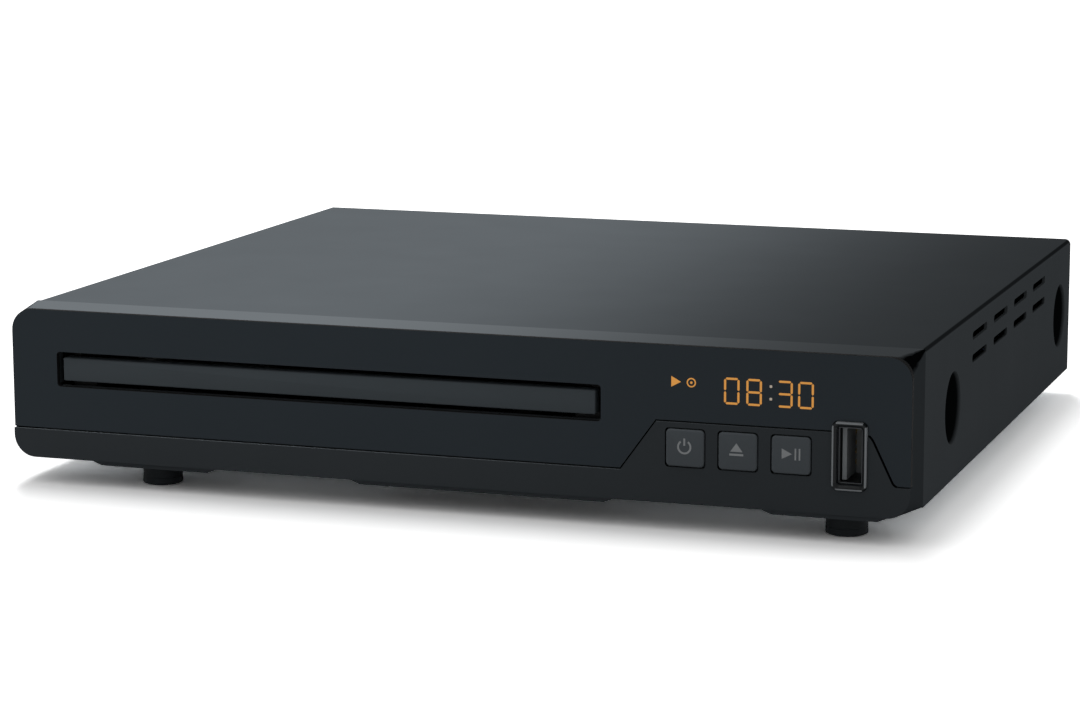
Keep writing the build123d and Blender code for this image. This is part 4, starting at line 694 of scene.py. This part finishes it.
def seat(piece: bpy.types.Object, body: str, slot: Slot, *nodes: str) -> None:
    """Puts a finished piece on the body that carries it.

    Args:
        piece: The piece.
        body: The model's body that it rides on.
        slot: The record's material slot, which is not used.
        nodes: The model's nodes that it stands for.
    """
    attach(piece, body)
    if nodes:
        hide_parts(*nodes)
    log.info("%s rides on %s, for %s", piece.name, body, ", ".join(nodes) or "no node")


def refine(node: str, name: str, slot: Slot, edge: float) -> None:
    """Stands a copy with finely rounded edges in for one of the case's nodes.

    Args:
        node: The node's name.
        name: The copy's name.
        slot: The record's material slot.
        edge: How far its edges are rounded, in millimetres.
    """
    piece = Form.of_node(node).object(name, slot.finish)
    edges = piece.modifiers.new("fine edges", "BEVEL")
    edges.width = edge * MM
    edges.segments = 2
    edges.limit_method = "ANGLE"
    edges.angle_limit = SHARP
    edges.harden_normals = True
    piece.modifiers.new("even shading", "WEIGHTED_NORMAL").keep_sharp = True
    seat(piece, "case", slot, node)


# Sub-assemblies


class Nodes:
    """The model's own nodes, dressed in their slots' finishes."""

    def build(self) -> None:
        """Gives every node the finish of its slot."""
        for name, node in sorted(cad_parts.items()):
            finish = Slot(node.data.materials[0].name.split(".")[0]).finish
            node.material_slots[0].material = finish.material()
            log.info("node %s wears %s", name, finish.name)


@dataclass
class Case:
    """Cover, bezel and smoked plate, from the model's own solids with finely rounded edges."""

    cover_edge: float = 0.2
    bezel_edge: float = 0.3
    plate_edge: float = 0.12
    gasket_left: float = -112.35
    gasket_length: float = 8.0
    gasket_bottom: float = 13.61
    gasket_height: float = 0.33
    gasket_setback: float = 0.4

    def _gasket(self) -> Form:
        """Builds the dark seal that closes the groove's end under the plate."""
        front, back = (corner.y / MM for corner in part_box("display_panel"))
        strip = Form.plate(self.gasket_length, self.gasket_height)
        strip.thicken(back - front - self.gasket_setback - SINK)
        x = self.gasket_left + self.gasket_length / 2
        return strip.placed(upright(x, back - SINK, self.gasket_bottom + self.gasket_height / 2))

    def build(self) -> None:
        """Builds the cover, the seal and both mouldings."""
        refine("top_cover", "cover_sheet", Slot.CASE_PAINT, self.cover_edge)
        seat(self._gasket().object("plate_gasket", GASKET), "case", Slot.FOOT)
        refine("front_bezel", "bezel", Slot.BEZEL, self.bezel_edge)
        refine("display_panel", "smoked_plate", Slot.PANEL, self.plate_edge)


@dataclass
class Door:
    """Tray door: a long moulded strip on the tray's front end."""

    middle: float = -30.5
    height_middle: float = 28.8
    face: float = -103.0
    width: float = 136.9
    height: float = 5.7
    depth: float = 3.5
    corner: float = 0.35
    edge: float = 0.3

    def build(self) -> None:
        """Builds the door."""
        form = Form.plate(self.width, self.height, self.corner).thicken(self.depth)
        form.soften_top(self.edge)
        form.placed(upright(self.middle, self.face + self.depth, self.height_middle))
        seat(form.object("door", DOOR_SATIN), "tray", Slot.KEY, "tray_door")


@dataclass
class Keys:
    """Three square keys with their printed signs."""

    first: float = 59.9
    pitch: float = 12.5
    middle: float = 19.65
    face: float = -104.2
    width: float = 9.1
    height: float = 8.7
    depth: float = 2.4
    corner: float = 1.0
    edge: tuple[float, int] = (0.45, 4)
    flange: float = 0.9
    flange_depth: float = 1.0
    stem: tuple[float, int] = (1.6, 24)
    back: float = -95.9
    ink: float = 0.02
    sign_shift: Pair = (-0.1, 0.3)
    power_ring: Triple = (1.25, 1.7, math.radians(290))
    power_bar: Pair = (0.45, 1.7)
    power_bar_up: float = 1.15
    eject_tip: Pair = (2.9, 2.0)
    eject_bar: Pair = (3.3, 0.5)
    eject_across: float = -0.15
    eject_up: Pair = (0.35, -1.0)
    play_tip: Triple = (2.4, 2.4, -math.pi / 2)
    play_bar: Pair = (0.38, 2.7)
    play_across: Triple = (-1.2, 1.2, 2.15)

    def _cap(self, x: float) -> Form:
        """Builds one key's cap with its flange and stem."""
        cap = Form.plate(self.width, self.height, self.corner).thicken(self.depth)
        cap.soften_top(*self.edge).placed(upright(x, self.face + self.depth, self.middle))
        back = self.face + self.depth + self.flange_depth
        wide, high = (size + 2 * self.flange for size in (self.width, self.height))
        flange = Form.plate(wide, high, self.corner).thicken(self.flange_depth + SINK)
        flange.placed(upright(x, back, self.middle))
        stem = Form.disc(*self.stem).thicken(self.back - back + SINK)
        return cap.joined([flange, stem.placed(upright(x, self.back, self.middle))])

    def _power(self) -> list[Form]:
        """Draws an open ring with a bar in its gap."""
        return [Form.ring(*self.power_ring).placed(Matrix.Rotation(math.pi, 4, "Z")),
                Form.plate(*self.power_bar).moved(y=self.power_bar_up)]

    def _eject(self) -> list[Form]:
        """Draws a triangle over a bar."""
        marks = Form.triangle(*self.eject_tip), Form.plate(*self.eject_bar)
        return [mark.moved(self.eject_across, up) for mark, up in zip(marks, self.eject_up)]

    def _play(self) -> list[Form]:
        """Draws a triangle that points right, and two bars."""
        bars = (Form.plate(*self.play_bar) for _ in range(2))
        marks = Form.triangle(*self.play_tip), *bars
        return [mark.moved(x) for mark, x in zip(marks, self.play_across)]

    def build(self) -> None:
        """Builds the keys and prints their signs."""
        signs = {"power": self._power, "eject": self._eject, "play": self._play}
        for place, (name, draw) in enumerate(signs.items()):
            x = self.first + place * self.pitch
            body = f"{name}_button"
            seat(self._cap(x).object(f"{name}_cap", Slot.KEY.finish), body, Slot.KEY, f"{name}_key")
            sign = Form().joined(mark.thicken(self.ink + SINK) for mark in draw())
            across, up = self.sign_shift
            sign.placed(upright(x + across, self.face + SINK, self.middle + up))
            seat(sign.object(f"{name}_sign", ICON_INK), body, Slot.KEY)


@dataclass
class Display:
    """Lit figures and signs of the display, seen through the smoked plate."""

    face: float = -103.5
    stroke: float = 0.5
    tip: float = 0.21
    width: float = 3.65
    height: float = 6.2
    base: float = 30.4
    gap: float = 0.14
    digits: tuple[tuple[str, float], ...] = (
        ("abcdef", 68.95), ("abcdefg", 74.2), ("abcdg", 81.4), ("abcdef", 86.3))
    dot: tuple[float, float, float, int] = (0.6, 0.6, 0.15, 2)
    dots: tuple[Pair, ...] = ((79.95, 35.1), (79.95, 32.2))
    play: Triple = (2.5, 2.3, -math.pi / 2)
    play_place: Pair = (57.2, 34.95)
    disc: Pair = (0.8, 1.1)
    disc_hole: tuple[float, int] = (0.3, 16)
    disc_place: Pair = (61.2, 34.9)
    lift: float = 0.03

    def _digit(self, lit: str, left: float) -> list[Form]:
        """Draws one figure.

        Args:
            lit: The letters of its lit segments.
            left: Where its left side is.

        Returns:
            The segments, with pointed ends.
        """
        half, step = (self.width - self.stroke) / 2, (self.height - self.stroke) / 2
        across, up = 2 * half - 2 * self.gap, step - 2 * self.gap
        x, z = left + self.width / 2, self.base + self.height / 2
        places = {"a": (0, 2), "g": (0, 0), "d": (0, -2),
                  "f": (-1, 1), "b": (1, 1), "e": (-1, -1), "c": (1, -1)}
        drawn = []
        for name in lit:
            side, level = places[name]
            bar = Form.plate(up if side else across, self.stroke, self.tip, 1)
            if side:
                bar.placed(Matrix.Rotation(math.pi / 2, 4, "Z"))
            drawn.append(bar.moved(x + side * half, z + level * step / 2))
        return drawn

    def _signs(self) -> list[Form]:
        """Draws the play sign and a small disc sign."""
        disc = [mark.moved(*self.disc_place)
                for mark in (Form.ring(*self.disc), Form.disc(*self.disc_hole))]
        return [Form.triangle(*self.play).moved(*self.play_place), *disc]

    def build(self) -> None:
        """Builds the figures, the signs and the paler colon, each raised into one thin piece."""
        marks = self._signs()
        for lit, left in self.digits:
            marks.extend(self._digit(lit, left))
        dots = [Form.plate(*self.dot).moved(*place) for place in self.dots]
        for name, flat, finish in (("display_figures", marks, SEGMENT_LIGHT),
                                   ("display_colon", dots, COLON_LIGHT)):
            raised = Form().joined(mark.thicken(self.lift) for mark in flat)
            piece = raised.placed(upright(0, self.face, 0)).object(name, finish)
            seat(piece, "case", Slot.DISPLAY)


@dataclass
class UsbSocket:
    """Gloss trim, shell darkened with painted shade, and contact tongue of the upright socket."""

    trim_edge: float = 0.12
    contact_x: float = 97.2
    contact_front: float = -93.0
    contact_length: float = 3.0
    contact_height: float = 1.1
    contact_corner: tuple[float, int] = (0.2, 2)
    contact_depth: float = 0.06
    contact_edge: tuple[float, int] = (0.03, 1)
    middle: float = 20.25
    pitches: tuple[float, ...] = (-3.5, -1.0, 1.0, 3.5)

    def build(self) -> None:
        """Builds the trim and the four contacts on the tongue, and dresses shell and tongue."""
        refine("usb_trim", "usb_frame", Slot.TRIM, self.trim_edge)
        # the shell gets nickel darkened to a painted shade
        for node, finish in (("usb_shell", SHADED_SHELL_NICKEL), ("usb_tongue", TONGUE_GREY)):
            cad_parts[node].material_slots[0].material = finish.material()
        side = Matrix.Rotation(math.pi / 2, 4, "Y")
        y = self.contact_front + self.contact_length / 2
        contacts = Form()
        for height in self.pitches:
            strip = Form.plate(self.contact_height, self.contact_length, *self.contact_corner)
            strip.thicken(self.contact_depth).soften_top(*self.contact_edge).placed(side)
            contacts.joined([strip.moved(self.contact_x, y, self.middle + height)])
        seat(contacts.object("usb_contacts", GOLD), "case", Slot.SOCKET)


@dataclass
class Feet:
    """Four round rubber feet, turned from one profile, with a soft lower rim and a waist line."""

    radius: float = 4.95
    top_radius: float = 4.75
    recess: tuple[Pair, ...] = ((0.0, 0.35), (0.55, 0.35), (0.6, 0.0))
    flank: tuple[Pair, ...] = (
        (0.35, 0.0), (0.1, 0.12), (0.0, 0.35), (0.04, 1.6), (0.16, 1.75), (0.07, 1.9))
    peg: float = 2.0
    front_seat: float = 5.5
    rear_seat: float = 6.5
    steps: int = 56

    def build(self) -> None:
        """Builds each foot where the model has it."""
        below = [(share * self.radius, z) for share, z in self.recess]
        below += [(self.radius - inset, z) for inset, z in self.flank]
        for corner in ("front_left", "front_right", "rear_left", "rear_right"):
            low, high = (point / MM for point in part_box(f"{corner}_foot"))
            middle = (low + high) / 2
            seated = self.rear_seat if corner.startswith("rear") else self.front_seat
            above = [(self.top_radius, seated), (self.peg, seated), (self.peg, high.z), (0, high.z)]
            form = Form.turned(below + above, self.steps).moved(middle.x, middle.y)
            foot = form.object(f"{corner}_rubber", Slot.FOOT.finish)
            seat(foot, "case", Slot.FOOT, f"{corner}_foot")


@dataclass
class Screws:
    """Cross-head screws of the cover, each where the model has it."""

    radius: float = 2.8
    head: float = 1.6
    head_steps: int = 36
    rim: float = 0.35
    shank: tuple[float, int] = (1.3, 20)
    overlap: float = 0.1
    arm: float = 1.5
    arm_half: float = 0.38
    cross_depth: float = 0.9
    cross_taper: float = 0.55

    def _screw(self, length: float) -> Form:
        """Builds one screw, whose head looks up Z and starts at the origin.

        Args:
            length: The shank's length.

        Returns:
            The screw.
        """
        form = Form()
        arm, half, inner = self.arm, self.arm_half, self.radius - self.rim
        turns = [(half, arm), (half, half), (arm, half), (arm, -half), (half, -half), (half, -arm)]
        outline = turns + [(-x, -y) for x, y in turns]
        corners = [form.mesh.verts.new((x, y, self.head)) for x, y in outline]
        cross = [form.mesh.edges.new(pair) for pair in zip(corners, corners[1:] + corners[:1])]
        ring = bmesh.ops.create_circle(form.mesh, segments=self.head_steps, radius=inner)["verts"]
        bmesh.ops.translate(form.mesh, vec=(0, 0, self.head), verts=ring)
        circle = [edge for edge in form.mesh.edges if edge not in cross]
        bmesh.ops.bridge_loops(form.mesh, edges=cross + circle)
        floor = self._drawn(form, cross, self.cross_taper, -self.cross_depth)
        bmesh.ops.contextual_create(form.mesh, geom=floor)
        edge = self._drawn(form, circle, self.radius / inner, -self.rim)
        foot = self._drawn(form, edge, 1.0, self.rim - self.head)
        bmesh.ops.contextual_create(form.mesh, geom=foot)
        bmesh.ops.recalc_face_normals(form.mesh, faces=form.mesh.faces)
        shank = Form.disc(*self.shank).thicken(length + self.overlap)
        return form.joined([shank.moved(z=-length)])

    @staticmethod
    def _drawn(form: Form, edges: list[bmesh.types.BMEdge], spread: float,
               rise: float) -> list[bmesh.types.BMEdge]:
        """Draws a loop of edges out into a wall.

        Args:
            form: The form that it belongs to.
            edges: The loop.
            spread: Factor on its width.
            rise: How far up it goes.

        Returns:
            The wall's far edges.
        """
        made = bmesh.ops.extrude_edge_only(form.mesh, edges=edges)["geom"]
        verts = {item for item in made if isinstance(item, bmesh.types.BMVert)}
        bmesh.ops.scale(form.mesh, vec=(spread, spread, 1), verts=list(verts))
        bmesh.ops.translate(form.mesh, vec=(0, 0, rise), verts=list(verts))
        walls = [item for item in made if isinstance(item, bmesh.types.BMEdge)]
        return [edge for edge in walls if verts.issuperset(edge.verts)]

    def build(self) -> None:
        """Builds the side screws and the rear screws."""
        for node, name in (("cover_side_screws", "side_screws"), ("rear_screws", "back_screws")):
            screws = Form()
            for low, high in solid_boxes(node):
                middle, size = (low + high) / 2, high - low
                length = max(size.x, size.y) - self.head
                if size.x > size.y:
                    out = math.copysign(1.0, middle.x)
                    seat_x = (high.x if out > 0 else -low.x) - self.head
                    turn = Matrix.Rotation(out * math.pi / 2, 4, "Y")
                    place = (out * seat_x, middle.y, middle.z)
                else:
                    turn = Matrix.Rotation(-math.pi / 2, 4, "X")
                    place = (middle.x, high.y - self.head, middle.z)
                roll = Matrix.Rotation(middle.y + middle.x, 4, "Z")
                screws.joined([self._screw(length).placed(Matrix.Translation(place) @ turn @ roll)])
            seat(screws.object(name, Slot.BLACK_SCREW.finish), "case", Slot.BLACK_SCREW, node)


@dataclass
class RearSockets:
    """Coloured collars and cores of the four round sockets, and contacts of the flat one."""

    colours: tuple[str, ...] = ("d8b52a", "d9d7cf", "b3372c", "c9702a")
    collar: Pair = (4.2, 5.5)
    collar_depth: float = 1.1
    collar_edge: tuple[float, int] = (0.3, 2)
    core: Pair = (0.95, 1.66)
    core_length: float = 5.0
    core_edge: tuple[float, int] = (0.15, 2)
    core_setback: float = 0.3
    contact_count: int = 10
    contact_pitch: float = 0.95
    contact_width: float = 0.4
    contact_depth: float = 0.05
    contact_short: float = 2.0
    contact_shift: float = 0.8

    def build(self) -> None:
        """Builds the collars, the cores and the contacts."""
        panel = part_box("rear_panel")[1].y / MM
        away = Matrix.Rotation(-math.pi / 2, 4, "X")
        for number, (low, high) in enumerate(solid_boxes("jack_sleeves")):
            moulding = Finish(f"socket colour {number + 1}", self.colours[number], 0.45,
                              depth=0.012, tone=0.05)
            x, z = (low.x + high.x) / 2, (low.z + high.z) / 2
            collar = Form.ring(*self.collar).thicken(self.collar_depth)
            collar.soften_top(*self.collar_edge)
            collar.placed(Matrix.Translation((x, panel, z)) @ away)
            core = Form.ring(*self.core).thicken(self.core_length).soften_top(*self.core_edge)
            back = high.y - self.core_setback - self.core_length
            core.placed(Matrix.Translation((x, back, z)) @ away)
            piece = collar.joined([core]).object(f"socket_collar_{number + 1}", moulding)
            seat(piece, "case", Slot.CONNECTOR)
        low, high = (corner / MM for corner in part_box("hdmi_tongue"))
        contacts = Form()
        for number in range(self.contact_count):
            x = (low.x + high.x) / 2 + (number - (self.contact_count - 1) / 2) * self.contact_pitch
            strip = Form.plate(self.contact_width, high.y - low.y - self.contact_short)
            strip.thicken(self.contact_depth)
            contacts.joined([strip.moved(x, (low.y + high.y) / 2 + self.contact_shift, high.z)])
        seat(contacts.object("hdmi_contacts", GOLD), "case", Slot.SOCKET)


# Studio


class Lit(Enum):
    """What a lamp lights."""

    PLAYER = "EXCLUDE"
    FLOOR = "INCLUDE"


@dataclass
class Lamp:
    """A soft rectangular lamp."""

    name: str  # its name
    lit: Lit  # whether it lights the player or the floor
    place: Triple  # where it hangs, in metres
    aim: Triple  # what it points at, in metres
    power: float  # in watts
    spread: float  # how wide it shines, in degrees
    size: Pair  # its width and depth, in metres

    def build(self, floor: bpy.types.Object) -> None:
        """Hangs the lamp, which lights the floor alone or all but the floor."""
        data = bpy.data.lights.new(self.name, "AREA")
        data.shape = "RECTANGLE"
        data.size, data.size_y = self.size
        data.spread = math.radians(self.spread)
        data.energy = self.power
        lit = bpy.data.collections.new(f"{self.name} lights")
        lit.objects.link(floor)
        lit.collection_objects[0].light_linking.link_state = self.lit.value
        lamp = bpy.data.objects.new(self.name, data)
        bpy.context.scene.collection.objects.link(lamp)
        lamp.location = self.place
        aim = Vector(self.aim) - Vector(self.place)
        lamp.rotation_euler = aim.to_track_quat("-Z", "Y").to_euler()
        lamp.visible_camera = False
        lamp.light_linking.receiver_collection = lit


@dataclass
class Studio:
    """Pale floor, white surroundings, soft lamps and the camera, whose place is in metres."""

    sensor: float = 36.0
    lens: float = 106.99
    shift: float = 0.0007
    near: float = 0.05
    eye: Triple = (0.265757, -0.793728, 0.169679)
    right: Triple = (0.94417691, 0.32942363, -0.00316834)
    up: Triple = (-0.05535985, 0.16813547, 0.98420818)
    back: Triple = (0.32475414, -0.92909124, 0.17698647)
    floor_size: float = 6000.0
    floor_gap: float = 0.1
    ground: Ground = Ground("studio floor", "c8c8c8")
    ambient: float = 0.45
    lamps: tuple[Lamp, ...] = (
        Lamp("overhead", Lit.PLAYER, (-0.115, 0.0, 0.293), (-0.115, 0.0, 0.0), 0.74, 42.0,
             (0.3, 0.5)),
        Lamp("skylight", Lit.FLOOR, (-2.0, 4.0, 10.0), (0.0, 0.0, 0.0), 420.0, 180.0, (2.0, 8.0)),
    )

    def _floor(self) -> bpy.types.Object:
        """Lays the floor, which looks white and keeps the soft shadow under the case."""
        flat = Form.plate(self.floor_size, self.floor_size).moved(z=-self.floor_gap)
        floor = flat.object("floor", self.ground)
        return floor

    def _world(self) -> None:
        """Makes the surroundings white to the eye and softly lit."""
        world = bpy.data.worlds.new("studio")
        world.use_nodes = True
        bpy.context.scene.world = world
        tree = Tree(world.node_tree)
        strength = tree.seen() * (1 - self.ambient) + self.ambient
        light = tree.node("Background", {}, {"Color": (1, 1, 1, 1), "Strength": strength})
        tree.node("OutputWorld", {}, {"Surface": light})

    def _camera(self) -> None:
        """Stands the camera where the photograph was taken."""
        data = bpy.data.cameras.new("camera")
        data.sensor_width = self.sensor
        data.lens = self.lens
        data.shift_x = self.shift
        data.clip_start = self.near
        camera = bpy.data.objects.new("camera", data)
        bpy.context.scene.collection.objects.link(camera)
        turn = Matrix((self.right, self.up, self.back)).transposed().to_4x4()
        camera.matrix_world = Matrix.Translation(self.eye) @ turn
        bpy.context.scene.camera = camera

    def build(self) -> None:
        """Builds the studio."""
        bpy.context.scene.view_settings.view_transform = "Standard"
        self._camera()
        self._world()
        floor = self._floor()
        for lamp in self.lamps:
            lamp.build(floor)


def main() -> None:
    """Builds the studio and every piece, in order."""
    logging.basicConfig(level=logging.INFO, format="%(message)s")
    assemblies = (Studio(), Nodes(), Case(), Door(), Keys(), Display(), UsbSocket(), Feet(),
                  Screws(), RearSockets())
    for assembly in assemblies:
        log.info("building %s", type(assembly).__name__)
        assembly.build()


if __name__ == "__main__":
    main()
